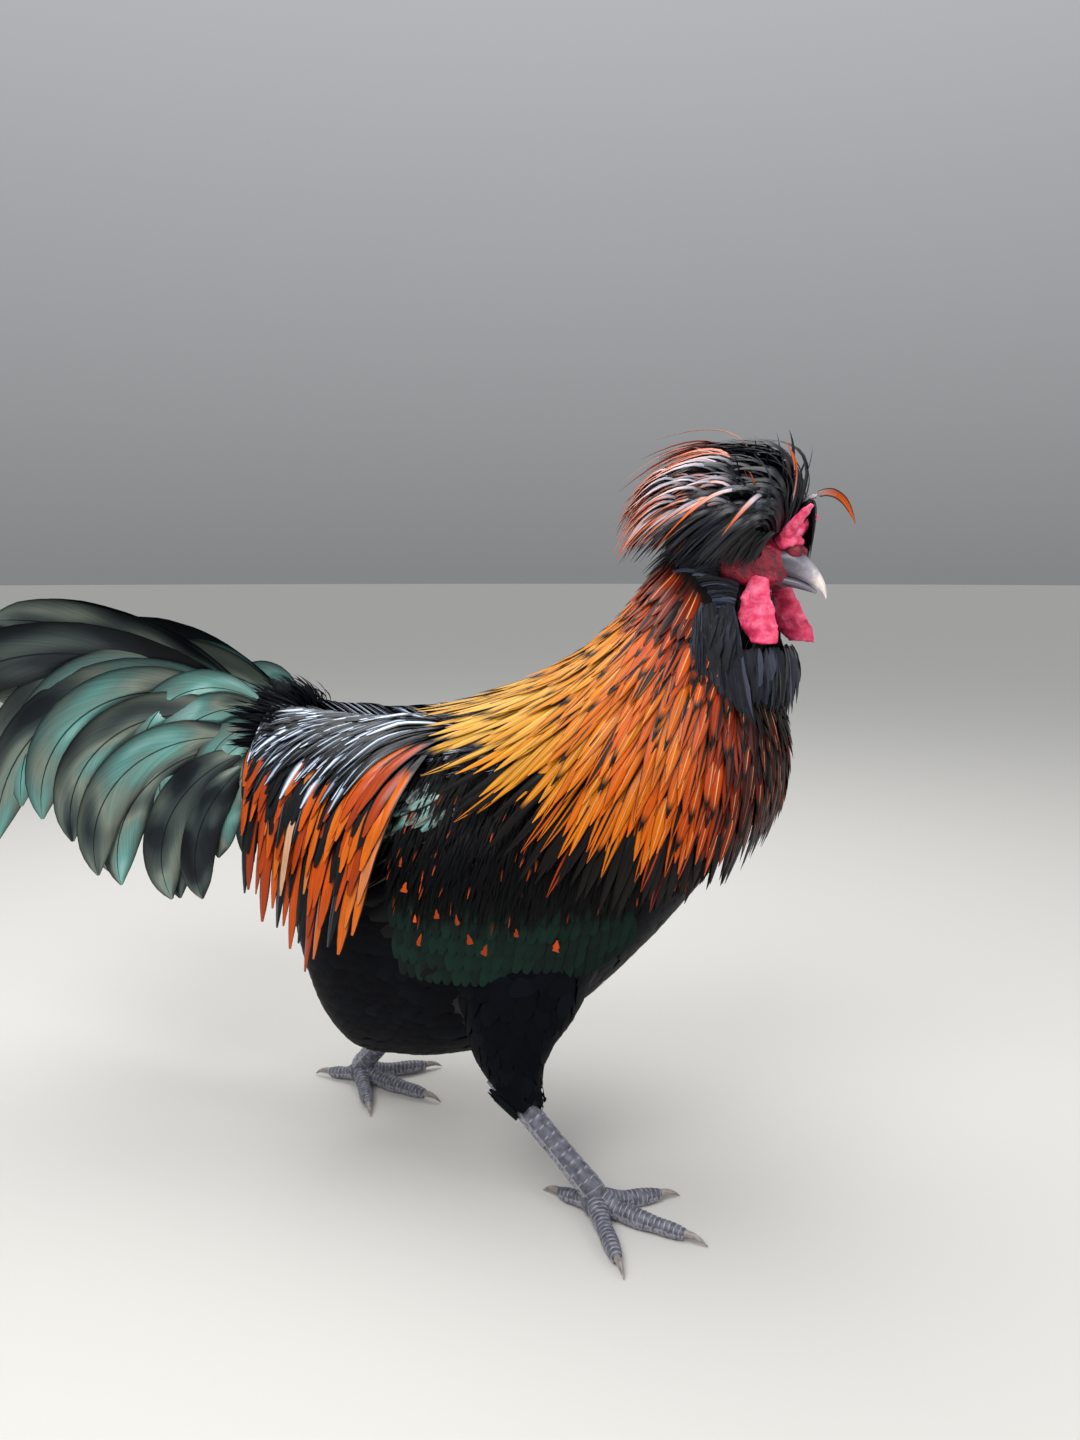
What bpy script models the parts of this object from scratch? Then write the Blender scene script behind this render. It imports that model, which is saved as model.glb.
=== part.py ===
"""A life-size Polish crested cockerel, walking, as a still museum model.

Metres, +Z up. The bird looks along +X, so its right side faces -Y. The origin is on the floor,
under the middle of its right foot, and the bird's middle plane is at Y = MID.
"""

import math
import random

import bmesh
import bpy
import numpy as np
from mathutils import Matrix, Vector

# Driving dimensions
MID = 0.069  # the middle plane, left of the right foot's sole
STRIDE = 0.210  # the left foot stands this far behind the right one
STANCE = 0.108  # across, from the right foot's middle to the left one's
FEATHER_TILT = 11.0  # degrees that one edge of each feather is lifted over its neighbour
GAP = 0.0005  # how far a neighbour is grown before it is cut away, which leaves about 0.3 mm
VANE = 0.0011  # thickness of a feather in the coat
QUILL_VANE = 0.0014  # thickness of a tail or flight feather

# The torso's stations from breast to tail root: x, top z, bottom z, half width
TORSO = (
    (0.088, 0.256, 0.240, 0.010),
    (0.081, 0.266, 0.227, 0.026),
    (0.058, 0.278, 0.199, 0.049),
    (0.024, 0.286, 0.156, 0.063),
    (-0.020, 0.287, 0.108, 0.069),
    (-0.066, 0.284, 0.074, 0.070),
    (-0.116, 0.280, 0.054, 0.067),
    (-0.156, 0.277, 0.048, 0.061),
    (-0.186, 0.277, 0.049, 0.054),
    (-0.208, 0.278, 0.071, 0.046),
    (-0.223, 0.281, 0.118, 0.037),
    (-0.239, 0.284, 0.178, 0.028),
    (-0.254, 0.286, 0.230, 0.020),
)
# The neck's stations from the shoulders up: x, z, half depth, half width
NECK = (
    (0.016, 0.235, 0.060, 0.050),
    (0.026, 0.270, 0.050, 0.042),
    (0.036, 0.302, 0.039, 0.033),
    (0.044, 0.332, 0.030, 0.026),
    (0.052, 0.360, 0.024, 0.021),
    (0.062, 0.382, 0.019, 0.017),
)
# The hackle cape round the neck, from behind (0) past the side (4) to the breast (7).
# Each row is x, distance from the middle plane and z of the collar, the bulge and the hem.
CAPE = (
    ((0.020, 0.000, 0.384), (-0.010, 0.000, 0.318), (-0.126, 0.000, 0.292)),
    ((0.023, 0.014, 0.381), (-0.006, 0.036, 0.314), (-0.112, 0.044, 0.283)),
    ((0.032, 0.025, 0.374), (0.002, 0.064, 0.308), (-0.082, 0.074, 0.250)),
    ((0.044, 0.032, 0.364), (0.018, 0.078, 0.298), (-0.036, 0.087, 0.212)),
    ((0.056, 0.034, 0.348), (0.040, 0.082, 0.288), (0.008, 0.086, 0.196)),
    ((0.068, 0.030, 0.332), (0.074, 0.072, 0.278), (0.046, 0.071, 0.196)),
    ((0.078, 0.017, 0.322), (0.104, 0.042, 0.274), (0.074, 0.041, 0.209)),
    ((0.082, 0.000, 0.318), (0.115, 0.000, 0.272), (0.084, 0.000, 0.216)),
)
# Tiers of hackles: where they begin and end along the sheet, how many on a side, half width,
# and how far round from the first row they go
CAPE_TIERS = (
    (0.48, 1.00, 11, 0.0130, 1.0),
    (0.30, 0.84, 9, 0.0124, 1.0),
    (0.12, 0.62, 5, 0.0122, 0.76),
    (-0.05, 0.36, 3, 0.0122, 0.56),
)
# How far a hackle stands off the sheet at its root, on its way and at its tip
HACKLE_LIFTS = (-0.0160, -0.0040, 0.0000, 0.0030)
HEM_LIFTS = (-0.0160, -0.0065, -0.0035, -0.0010)  # the lowest tier, under the others
CUSHION_LIFT = -0.009  # the cushion that holds the roots, below the sheet
# The saddle's hackles on one side, from the tail forward: root on the back, bulge and hem
SADDLE = (
    ((-0.228, 0.010, 0.295), (-0.250, 0.048, 0.282), (-0.240, 0.056, 0.172)),
    ((-0.196, 0.010, 0.291), (-0.220, 0.058, 0.286), (-0.216, 0.068, 0.148)),
    ((-0.161, 0.010, 0.289), (-0.188, 0.068, 0.288), (-0.193, 0.078, 0.135)),
    ((-0.126, 0.010, 0.291), (-0.158, 0.076, 0.290), (-0.171, 0.086, 0.133)),
    ((-0.091, 0.010, 0.294), (-0.124, 0.082, 0.292), (-0.146, 0.090, 0.150)),
)
SADDLE_TIERS = (
    (0.42, 1.00, 8, 0.0092, 1.0),
    (0.20, 0.74, 6, 0.0105, 1.0),
    (0.03, 0.50, 5, 0.0115, 1.0),
)

HEAD_AT = Vector((0.074, MID - 0.004, 0.388))
HEAD_YAW = math.radians(-15)  # turned to its right
HEAD_PITCH = math.radians(13)  # beak a little down
# The skull along the bird's gaze: forward, height of the middle, half width, half height
SKULL = (
    (-0.028, -0.002, 0.004, 0.006),
    (-0.024, -0.001, 0.011, 0.013),
    (-0.014, 0.000, 0.0165, 0.019),
    (-0.002, 0.001, 0.0175, 0.0205),
    (0.008, 0.000, 0.0160, 0.0185),
    (0.016, -0.002, 0.0125, 0.0150),
    (0.023, -0.003, 0.0085, 0.0115),
    (0.026, -0.003, 0.0050, 0.0080),
)
EYE_AT = Vector((0.006, 0.0135, 0.0035))
EYE_RADIUS = 0.0048
LID_RIM = 0.0011
# The upper beak: forward, top, bottom, half width
BEAK_TOP = (
    (0.014, 0.0095, -0.006, 0.0080),
    (0.024, 0.0100, -0.006, 0.0074),
    (0.033, 0.0070, -0.0065, 0.0058),
    (0.041, 0.0015, -0.0080, 0.0040),
    (0.047, -0.0050, -0.0105, 0.0024),
    (0.0500, -0.0120, -0.0135, 0.0008),
)
BEAK_LOW = (
    (0.012, -0.0075, -0.0125, 0.0066),
    (0.022, -0.0075, -0.0125, 0.0058),
    (0.032, -0.0080, -0.0122, 0.0044),
    (0.040, -0.0092, -0.0118, 0.0024),
    (0.0425, -0.0100, -0.0114, 0.0008),
)
CREST_AT = Vector((-0.008, 0.0, 0.026))  # middle of the crest's cushion, from the head's middle
CREST_CORE = Vector((0.029, 0.028, 0.022))
# Rings of crest feathers: how high on the cushion in degrees, and how many
CREST_RINGS = ((-18, 14), (4, 14), (26, 12), (48, 9), (70, 5))
BEARD_AT = Vector((0.073, MID - 0.004, 0.341))
BEARD_CORE = Vector((0.032, 0.035, 0.031))
# Rows of beard feathers: height on the core, how many, how far they hang, spread at the tips
BEARD_ROWS = ((-0.56, 5, 0.028, 1.00), (-0.04, 6, 0.032, 1.08), (0.48, 5, 0.034, 1.14))

TAIL_ROOT = Vector((-0.258, MID, 0.272))
SHANK_SIDE = 0.0062
SHANK_DEEP = 0.0074
ANKLE_UP = 0.0135
TOE_RADIUS = 0.0052
HOCK_BACK = {"right": -0.066, "left": 0.058}  # the hock's place along X, from its foot's middle
HOCK_IN = {"right": 0.012, "left": 0.0}  # and across
HOCK_UP = {"right": 0.073, "left": 0.080}
# The feathered thigh from the hip down: ahead of the hock, from the middle plane, z, half width
# and half depth
THIGHS = {
    "right": (
        (0.022, 0.036, 0.172, 0.026, 0.046),
        (0.014, 0.043, 0.130, 0.028, 0.041),
        (0.008, 0.050, 0.100, 0.025, 0.033),
        (0.013, 0.056, 0.073, 0.0165, 0.0200),
        (0.026, 0.057, 0.052, 0.0088, 0.0100),
    ),
    "left": (
        (0.058, 0.034, 0.172, 0.026, 0.046),
        (0.034, 0.036, 0.126, 0.028, 0.040),
        (0.008, 0.038, 0.092, 0.021, 0.027),
        (-0.010, 0.039, 0.064, 0.0125, 0.0140),
        (-0.018, 0.039, 0.050, 0.0088, 0.0096),
    ),
}
# Each toe: name, turn in degrees from the bird's heading on its right foot, length, claw's length
TOES = (
    ("outer", -60, 0.050, 0.013),
    ("middle", -10, 0.057, 0.014),
    ("inner", 36, 0.043, 0.013),
    ("hind", 160, 0.026, 0.012),
)
FOOT_TURN = {"right": 0, "left": -20}

BLACK = (0.012, 0.013, 0.018)
GREEN = (0.020, 0.060, 0.050)
ORANGE = (0.560, 0.150, 0.018)
RED = (0.520, 0.030, 0.045)
HORN = (0.420, 0.400, 0.360)
SLATE = (0.110, 0.125, 0.160)
IRIS = (0.450, 0.120, 0.020)

for old in list(bpy.data.objects):
    bpy.data.objects.remove(old)

MODEL = bpy.data.collections.new("polish_cockerel")
SCRAPS = bpy.data.collections.new("cutters")
bpy.context.scene.collection.children.link(MODEL)
bpy.context.scene.collection.children.link(SCRAPS)
SCRAPS.hide_render = True


# Helpers for shapes


def material(name, colour, roughness, metallic=0.0):
    made = bpy.data.materials.new(name)
    made.use_nodes = True
    shader = made.node_tree.nodes["Principled BSDF"]
    shader.inputs["Base Color"].default_value = (*colour, 1.0)
    shader.inputs["Roughness"].default_value = roughness
    shader.inputs["Metallic"].default_value = metallic
    return made


FEATHER_BLACK = material("black plumage", BLACK, 0.45)
FEATHER_GREEN = material("beetle green plumage", GREEN, 0.30, 0.2)
FEATHER_ORANGE = material("orange hackle", ORANGE, 0.40)
SKIN_RED = material("comb and wattle skin", RED, 0.50)
BEAK_HORN = material("beak and claw horn", HORN, 0.35)
SCALE_SLATE = material("shank scales", SLATE, 0.50)
EYE_GLOSS = material("eye", IRIS, 0.08)


def placed(name, bm, collection=MODEL):
    """An object from a bmesh, which is freed."""
    bmesh.ops.triangulate(bm, faces=bm.faces)
    bmesh.ops.recalc_face_normals(bm, faces=bm.faces)
    mesh = bpy.data.meshes.new(name)
    bm.to_mesh(mesh)
    bm.free()
    obj = bpy.data.objects.new(name, mesh)
    collection.objects.link(obj)
    return obj


def along(rows, t):
    """A smooth (Catmull-Rom) reading of a list of rows at t, from 0 to the last row's number."""
    rows = np.asarray(rows, float)
    t = min(max(t, 0.0), len(rows) - 1.0)
    i = min(int(t), len(rows) - 2)
    f = t - i
    p0, p1, p2, p3 = (rows[min(max(k, 0), len(rows) - 1)] for k in range(i - 1, i + 3))
    return 0.5 * (
        2 * p1
        + (p2 - p0) * f
        + (2 * p0 - 5 * p1 + 4 * p2 - p3) * f**2
        + (3 * p1 - p0 - 3 * p2 + p3) * f**3
    )


def bezier(points, t):
    """A point on the quadratic or cubic curve with these control points."""
    points = [Vector(p) for p in points]
    while len(points) > 1:
        points = [a.lerp(b, t) for a, b in zip(points, points[1:])]
    return points[0]


def oval(centre, side, up, half_side, half_up, half_down, count):
    """A ring of points round a centre, with its own height above and below."""
    ring = []
    for k in range(count):
        turn = 2 * math.pi * k / count
        tall = half_up if math.cos(turn) > 0 else half_down
        ring.append(centre + side * (half_side * math.sin(turn)) + up * (tall * math.cos(turn)))
    return ring


def loft(name, rings, collection=MODEL, poles=0.35):
    """A closed surface over rings of points, with a low pole on each end."""
    bm = bmesh.new()
    rows = [[bm.verts.new(p) for p in ring] for ring in rings]
    count = len(rows[0])
    for a, b in zip(rows, rows[1:]):
        for k in range(count):
            n = (k + 1) % count
            bm.faces.new((a[k], a[n], b[n], b[k]))
    for row, inner in ((rings[0], rings[1]), (rings[-1], rings[-2])):
        middle = sum(row, Vector()) / count
        out = middle - sum(inner, Vector()) / count
        reach = max((p - middle).length for p in row)
        pole = bm.verts.new(middle + out.normalized() * reach * poles)
        ends = rows[0] if row is rings[0] else rows[-1]
        for k in range(count):
            bm.faces.new((ends[k], ends[(k + 1) % count], pole))
    return placed(name, bm, collection)


def tube(name, points, half_sides, half_ups, up, count=8, collection=MODEL, poles=0.35):
    """A loft along a line of points, its sections square to the line."""
    points = [Vector(p) for p in points]
    rings = []
    for i, point in enumerate(points):
        ahead = points[min(i + 1, len(points) - 1)] - points[max(i - 1, 0)]
        side = ahead.normalized().cross(Vector(up)).normalized()
        top = side.cross(ahead.normalized())
        rings.append(oval(point, side, top, half_sides[i], half_ups[i], half_ups[i], count))
    return loft(name, rings, collection, poles)


def vane(name, spine, facings, half_widths, thick, collection, tilt=0.0):
    """A feather or lock as one thin closed strip, pointed at its tip and at its buried root.

    Its two faces have the same triangles. With a tilt one edge is lifted over its neighbour and
    the other lies under the next one.
    """
    bm = bmesh.new()
    rows = []
    for i in range(1, len(spine) - 1):
        ahead = (spine[i + 1] - spine[i - 1]).normalized()
        side = ahead.cross(facings[i]).normalized()
        side = Matrix.Rotation(math.radians(tilt), 3, ahead) @ side
        top = side.cross(ahead) * thick / 2
        side *= half_widths[i]
        corners = (spine[i] - side + top, spine[i] + side + top, spine[i] + side - top, spine[i] - side - top)
        rows.append([bm.verts.new(p) for p in corners])
    root, tip = bm.verts.new(spine[0]), bm.verts.new(spine[-1])
    for a, b in zip(rows, rows[1:]):
        for faces in ((a[0], a[1], b[1]), (a[0], b[1], b[0]), (a[3], a[2], b[2]), (a[3], b[2], b[3])):
            bm.faces.new(faces)
        for faces in ((a[1], a[2], b[2]), (a[1], b[2], b[1]), (a[0], a[3], b[3]), (a[0], b[3], b[0])):
            bm.faces.new(faces)
    for end, ring in ((root, rows[0]), (tip, rows[-1])):
        for k in range(4):
            bm.faces.new((ring[k], ring[(k + 1) % 4], end))
    return placed(name, bm, collection)


def largest_only(obj):
    """Drops every loose surface of the object but the largest, and closes hairline slits."""
    bm = bmesh.new()
    bm.from_mesh(obj.data)
    bmesh.ops.remove_doubles(bm, verts=bm.verts, dist=2e-6)
    if not all(edge.is_manifold for edge in bm.edges):
        bm.clear()
        bm.from_mesh(obj.data)
    left = set(bm.verts)
    islands = []
    while left:
        reached = {left.pop()}
        edge_of = list(reached)
        while edge_of:
            vert = edge_of.pop()
            for edge in vert.link_edges:
                other = edge.other_vert(vert)
                if other in left:
                    left.remove(other)
                    reached.add(other)
                    edge_of.append(other)
        islands.append(reached)
    islands.sort(key=len)
    for island in islands[:-1]:
        bmesh.ops.delete(bm, geom=list(island), context="VERTS")
    bm.to_mesh(obj.data)
    bm.free()
    return len(islands)


def settled(obj):
    """Applies the object's modifiers and keeps its largest closed surface."""
    graph = bpy.context.evaluated_depsgraph_get()
    mesh = bpy.data.meshes.new_from_object(obj.evaluated_get(graph))
    obj.modifiers.clear()
    obj.data = mesh
    largest_only(obj)
    return obj


def united(core, pieces):
    """Joins a collection of closed pieces to their core in one union, and removes the collection."""
    join = core.modifiers.new("join pieces", "BOOLEAN")
    join.operation = "UNION"
    join.solver = "MANIFOLD"
    join.operand_type = "COLLECTION"
    join.collection = pieces
    settled(core)
    for piece in list(pieces.objects):
        bpy.data.objects.remove(piece)
    bpy.data.collections.remove(pieces)
    return core


def pile(name):
    """A collection for the pieces that one union will join."""
    made = bpy.data.collections.new(name)
    SCRAPS.children.link(made)
    return made


def cut_by(obj, other, grow):
    """Cuts the other object, grown by this much, out of the first one."""
    grown = bpy.data.objects.new("grown", other.data.copy())
    grown.hide_render = True
    SCRAPS.objects.link(grown)
    swell = grown.modifiers.new("grow", "DISPLACE")
    swell.mid_level = 0.0
    swell.strength = grow
    cut = obj.modifiers.new("clear", "BOOLEAN")
    cut.operation = "DIFFERENCE"
    cut.solver = "MANIFOLD"
    cut.object = grown
    settled(obj)
    bpy.data.objects.remove(grown)


def clear_of(obj, *neighbours):
    for other in neighbours:
        cut_by(obj, other, GAP)
    return obj


def finished(obj, finish, smooth=40):
    obj.data.materials.clear()
    obj.data.materials.append(finish)
    obj.data.shade_smooth()
    obj.data.set_sharp_from_angle(angle=math.radians(smooth))
    return obj


def beside(row, side):
    """A point from x, distance from the middle plane and z."""
    return Vector((row[0], MID + side * row[1], row[2]))


def sheet_point(rows, at, t, side, lift=0.0):
    """A point on a coat's sheet: at reads its rows front to back, t runs from root to hem."""
    collar, bulge, hem = (beside(along([r[k] for r in rows], at), side) for k in range(3))
    point = bezier((collar, bulge, hem), t)
    return point + sheet_facing(rows, at, t, side) * lift if lift else point


def sheet_facing(rows, at, t, side):
    """The sheet's outward direction."""
    step = 0.05
    ahead = sheet_point(rows, at, min(t + step, 1.0), side) - sheet_point(rows, at, t - step, side)
    low, high = max(at - step, 0.0), min(at + step, len(rows) - 1.0)
    across = sheet_point(rows, high, t, side) - sheet_point(rows, low, t, side)
    facing = across.cross(ahead) * side
    if abs(sheet_point(rows, at, t, side).y - MID) < 0.001:
        facing.y = 0.0
    return facing.normalized()


def torso_at(x, turn, out=0.0, side=1):
    """A point on the torso at x, turned from the top (0) past the side (90) to the belly (180)."""
    xs = [row[0] for row in TORSO]
    t = float(np.interp(-x, [-v for v in xs], range(len(xs))))
    _, top, bottom, half = along(TORSO, t)
    middle = bottom + 0.56 * (top - bottom)
    angle = math.radians(turn)
    tall = (top if math.cos(angle) > 0 else 2 * middle - bottom) - middle
    y = MID + side * (half + out) * math.sin(angle)
    return Vector((x, y, middle + (tall + out) * math.cos(angle)))


# Torso, neck and thighs


def make_torso():
    rings = []
    for t in np.linspace(0, len(TORSO) - 1, 15):
        x = float(along(TORSO, t)[0])
        rings.append([torso_at(x, 20 * k) for k in range(18)])
    return loft("torso", rings)


def make_neck_core():
    rings = []
    for t in np.linspace(0, len(NECK) - 1, 6):
        x, z, deep, wide = along(NECK, t)
        slope = Vector((0.42, 0, 1)).normalized()
        fore = Vector((0, 1, 0)).cross(slope)
        rings.append(oval(Vector((x, MID, z)), Vector((0, 1, 0)), fore, wide, deep, deep, 10))
    return loft("neck", rings)


def add_hackles(pieces, rows, tiers, side, seed):
    """Tiers of long hackles along a coat's sheet, each lifted over its neighbour at one edge."""
    draw = random.Random(seed)
    for tier, (start, end, count, half, round_to) in enumerate(tiers):
        lifts = HEM_LIFTS if tier == 0 else HACKLE_LIFTS
        for k in range(count):
            at = (k + 0.5) / count * (len(rows) - 1) * round_to
            tip = end - draw.uniform(0.0, 0.05)
            steps = [start + (tip - start) * t for t in (0.0, 0.28, 0.66, 1.0)]
            spine = [sheet_point(rows, at, t, side, h) for t, h in zip(steps, lifts)]
            facing = [sheet_facing(rows, at, t, side) for t in steps]
            halves = [half * w for w in (0.0, 1.0, 0.86, 0.0)]
            vane("hackle", spine, facing, halves, VANE, pieces, tilt=FEATHER_TILT)


def make_cape():
    """The neck with its cape of hackles, in four tiers from hem to collar."""
    neck = make_neck_core()
    pieces = pile("cape pieces")
    for side in (-1, 1):
        add_hackles(pieces, CAPE, CAPE_TIERS, side, 11)
    inner = []
    for t in (0.02, 0.22, 0.42, 0.60):
        there = [sheet_point(CAPE, a, t, -1, CUSHION_LIFT) for a in np.linspace(0, 7, 8)]
        back = [sheet_point(CAPE, a, t, 1, CUSHION_LIFT) for a in np.linspace(7, 0, 8)[1:-1]]
        inner.append(there + back)
    loft("cushion", inner, pieces, 0.1)
    return united(neck, pieces)


def hock_place(side_name):
    return foot_place(side_name) + Vector((HOCK_BACK[side_name], HOCK_IN[side_name], HOCK_UP[side_name]))


def make_thigh(side_name):
    side = -1 if side_name == "right" else 1
    hock = hock_place(side_name)
    rows = THIGHS[side_name]
    points = [Vector((hock.x + ahead, MID + side * out, z)) for ahead, out, z, _, _ in rows]
    wides = [row[3] for row in rows]
    deeps = [row[4] for row in rows]
    return tube("thigh_" + side_name, points, wides, deeps, (1, 0, 0), 14)


# Legs


def foot_place(side_name):
    if side_name == "right":
        return Vector((0, 0, 0))
    return Vector((-STRIDE, STANCE, 0))


def make_shank(side_name):
    """The bare shank from the cuff of feathers to the ankle, with its row of scutes in front."""
    hock = hock_place(side_name)
    ankle = foot_place(side_name) + Vector((0, 0, ANKLE_UP))
    run = (ankle - hock).normalized()
    points = [hock, hock + run * 0.022, hock.lerp(ankle, 0.6), ankle - run * 0.004, ankle + run * 0.003]
    sides = [SHANK_SIDE * k for k in (1.15, 1.0, 0.92, 1.12, 0.95)]
    deeps = [SHANK_DEEP * k for k in (1.15, 1.0, 0.95, 1.05, 0.85)]
    shank = tube("shank_" + side_name, points, sides, deeps, (1, 0, 0), 10)
    pieces = pile("scutes " + side_name)
    fore = run.cross(Vector((0, 1, 0))).normalized()
    if fore.x < 0:
        fore = -fore
    count = 7
    for k in range(count):
        centre = hock.lerp(ankle, 0.46 + 0.46 * k / (count - 1)) + fore * SHANK_DEEP * 0.66
        size = (SHANK_SIDE * 1.25, 0.0052, 0.0056)
        plate("scute", centre, size, fore, run, pieces)
    return united(shank, pieces)


def plate(name, centre, size, facing, run, pieces):
    """A low scute with bevelled edges, its outer face tipped up at the lower end."""
    bpy.ops.mesh.primitive_cube_add(size=1)
    obj = bpy.context.object
    obj.name = name
    side = facing.cross(run).normalized()
    turn = Matrix((side, facing, run)).transposed().to_4x4()
    obj.data.transform(Matrix.Diagonal((*size, 1.0)))
    for vert in obj.data.vertices:
        if vert.co.y > 0:
            vert.co.x *= 0.62
            vert.co.z *= 0.80
            vert.co.y += 0.0004 if vert.co.z > 0 else 0.0
    obj.data.transform(Matrix.Translation(centre) @ turn)
    for old in obj.users_collection:
        old.objects.unlink(obj)
    pieces.objects.link(obj)
    return obj


def toe_line(side_name, turn, length):
    """The points of a toe on the floor, from inside the foot to where its claw begins."""
    mirror = 1 if side_name == "right" else -1
    heading = math.radians(mirror * turn + FOOT_TURN[side_name])
    ahead = Vector((math.cos(heading), math.sin(heading), 0))
    foot = foot_place(side_name)
    heights = (ANKLE_UP * 0.80, TOE_RADIUS * 1.18, TOE_RADIUS * 0.90, TOE_RADIUS * 0.8)
    return ahead, [
        foot + ahead * length * t + Vector((0, 0, h)) for t, h in zip((0.0, 0.30, 0.66, 1.0), heights)
    ]


def make_foot(side_name):
    """Palm and four toes with knuckle pads, flat where they stand on the floor."""
    foot = foot_place(side_name)
    bpy.ops.mesh.primitive_uv_sphere_add(segments=10, ring_count=6, radius=0.0088)
    palm = bpy.context.object
    palm.name = "foot_" + side_name
    palm.data.transform(Matrix.Translation(foot + Vector((0.001, 0, 0.0080))))
    for old in palm.users_collection:
        old.objects.unlink(palm)
    MODEL.objects.link(palm)
    pieces = pile("toes " + side_name)
    for name, turn, length, _ in TOES:
        ahead, points = toe_line(side_name, turn, length)
        scale = 0.86 if name == "hind" else 1.0
        wides = [TOE_RADIUS * scale * k for k in (1.25, 1.0, 0.94, 0.62)]
        talls = [TOE_RADIUS * scale * k for k in (1.35, 1.12, 1.02, 0.66)]
        tube("toe", points, wides, talls, (0, 0, 1), 8, pieces)
        count = 3 if length > 0.05 else 2
        for k in range(count):
            at = 0.30 + 0.55 * k / (count - 1)
            centre = points[1].lerp(points[3], (at - 0.30) / 0.70)
            size = (TOE_RADIUS * 1.15, 0.0030, length * 0.115)
            lift = Vector((0, 0, TOE_RADIUS * scale * (0.98 - 0.24 * at)))
            plate("toe scute", centre + lift, size, Vector((0, 0, 1)), ahead, pieces)
    united(palm, pieces)
    bpy.ops.mesh.primitive_cube_add(size=0.4, location=(foot.x, foot.y, -0.2))
    floor = bpy.context.object
    floor.hide_render = True
    level = palm.modifiers.new("floor", "BOOLEAN")
    level.operation = "DIFFERENCE"
    level.solver = "MANIFOLD"
    level.object = floor
    settled(palm)
    bpy.data.objects.remove(floor)
    return palm


def make_claws(side_name):
    claws = []
    for name, turn, length, claw in TOES:
        ahead, points = toe_line(side_name, turn, length)
        start = points[-1] - ahead * 0.003
        line = [
            bezier((start, start + ahead * claw * 0.7 + Vector((0, 0, 0.002)),
                    Vector((*(start + ahead * (claw + 0.003)).xy, 0.0009))), t)
            for t in (0, 0.35, 0.70, 1.0)
        ]
        radii = [0.0026 * k for k in (1.0, 0.88, 0.60, 0.20)]
        claws.append(tube(f"claw_{side_name}_{name}", line, radii, radii, (0, 0, 1), 6))
    return claws


# Wings


def wing_patch(side, outline, out_low, out_high, columns=4):
    """A closed shell that hugs the torso's side. outline gives x, upper turn and lower turn."""
    rings = []
    for t in np.linspace(0, len(outline) - 1, 6):
        x, upper, lower = along(outline, t)
        turns = np.linspace(upper, lower, columns)
        bulge = [math.sin(math.pi * (0.08 + 0.84 * k / (columns - 1))) for k in range(columns)]
        outer = [torso_at(x, a, out_low + (out_high - out_low) * b, side) for a, b in zip(turns, bulge)]
        inner = [torso_at(x, a, out_low - 0.003, side) for a in turns]
        rings.append(outer + inner[::-1])
    return rings


WING_OUTLINE = (
    (0.050, 54, 80),
    (0.030, 46, 94),
    (-0.010, 46, 106),
    (-0.055, 48, 114),
    (-0.095, 52, 120),
    (-0.122, 62, 118),
)
WING_OUT = 0.0055
# Rows of wing feathers: the first and last root (x, turn), the tips' shift in x and turn,
# how many, half width, and how high over the torso they lie from root to tip
WING_ROWS = (
    ((0.010, 100), (-0.090, 66), (-0.084, 24), 8, 0.0098, (0.0010, 0.0064, 0.0070, 0.0074)),
    ((0.024, 84), (-0.060, 60), (-0.062, 22), 6, 0.0096, (0.0012, 0.0086, 0.0096, 0.0102)),
)


def make_wing(side_name):
    """A folded wing: its arm and two overlapping tiers, the flight feathers and the coverts over them."""
    side = -1 if side_name == "right" else 1
    wing = loft("wing_" + side_name, wing_patch(side, WING_OUTLINE, 0.0006, WING_OUT), MODEL, 0.1)
    pieces = pile("wing pieces " + side_name)
    for first, last, shift, count, half, lifts in WING_ROWS:
        for k in range(count):
            f = k / (count - 1)
            x = first[0] + (last[0] - first[0]) * f
            turn = first[1] + (last[1] - first[1]) * f
            spine, facing = [], []
            for t, out in zip((0.0, 0.28, 0.66, 1.0), lifts):
                bend = t * t * (1 - 0.35 * f)
                here = torso_at(x + shift[0] * t, turn + shift[1] * bend, out, side)
                above = torso_at(x + shift[0] * t, turn + shift[1] * bend, out + 0.001, side)
                spine.append(here)
                facing.append((above - here).normalized())
            halves = [half * w for w in (0.0, 1.0, 0.86, 0.0)]
            vane("flight feather", spine, facing, halves, QUILL_VANE, pieces, tilt=-FEATHER_TILT * side)
    return united(wing, pieces)


# Saddle and tail


def make_saddle(side_name):
    """One side's saddle: a low cushion on the rump and its long hackles."""
    side = -1 if side_name == "right" else 1
    rings = []
    for at in np.linspace(0.12, 3.88, 5):
        outer = [sheet_point(SADDLE, at, t, side, CUSHION_LIFT) for t in (0.04, 0.22, 0.40, 0.56)]
        inner = [sheet_point(SADDLE, at, t, side, -0.028) for t in (0.56, 0.40, 0.22, 0.04)]
        rings.append(outer + inner)
    saddle = loft("saddle_" + side_name, rings, MODEL, 0.1)
    pieces = pile("saddle pieces " + side_name)
    add_hackles(pieces, SADDLE, SADDLE_TIERS, side, 23)
    return united(saddle, pieces)


def plume(root, heading, climb, droop, length, steps, ease=1.25):
    """The spine of a tail feather that leaves its root at an angle and bends down as it goes."""
    points = [root.copy()]
    step = length / steps
    for i in range(steps):
        f = (i + 0.5) / steps
        rise = math.radians(climb - droop * f**ease)
        turn = math.radians(heading)
        ahead = Vector((-math.cos(turn) * math.cos(rise), math.sin(turn) * math.cos(rise), math.sin(rise)))
        points.append(points[-1] + ahead * step)
    return points


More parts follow.
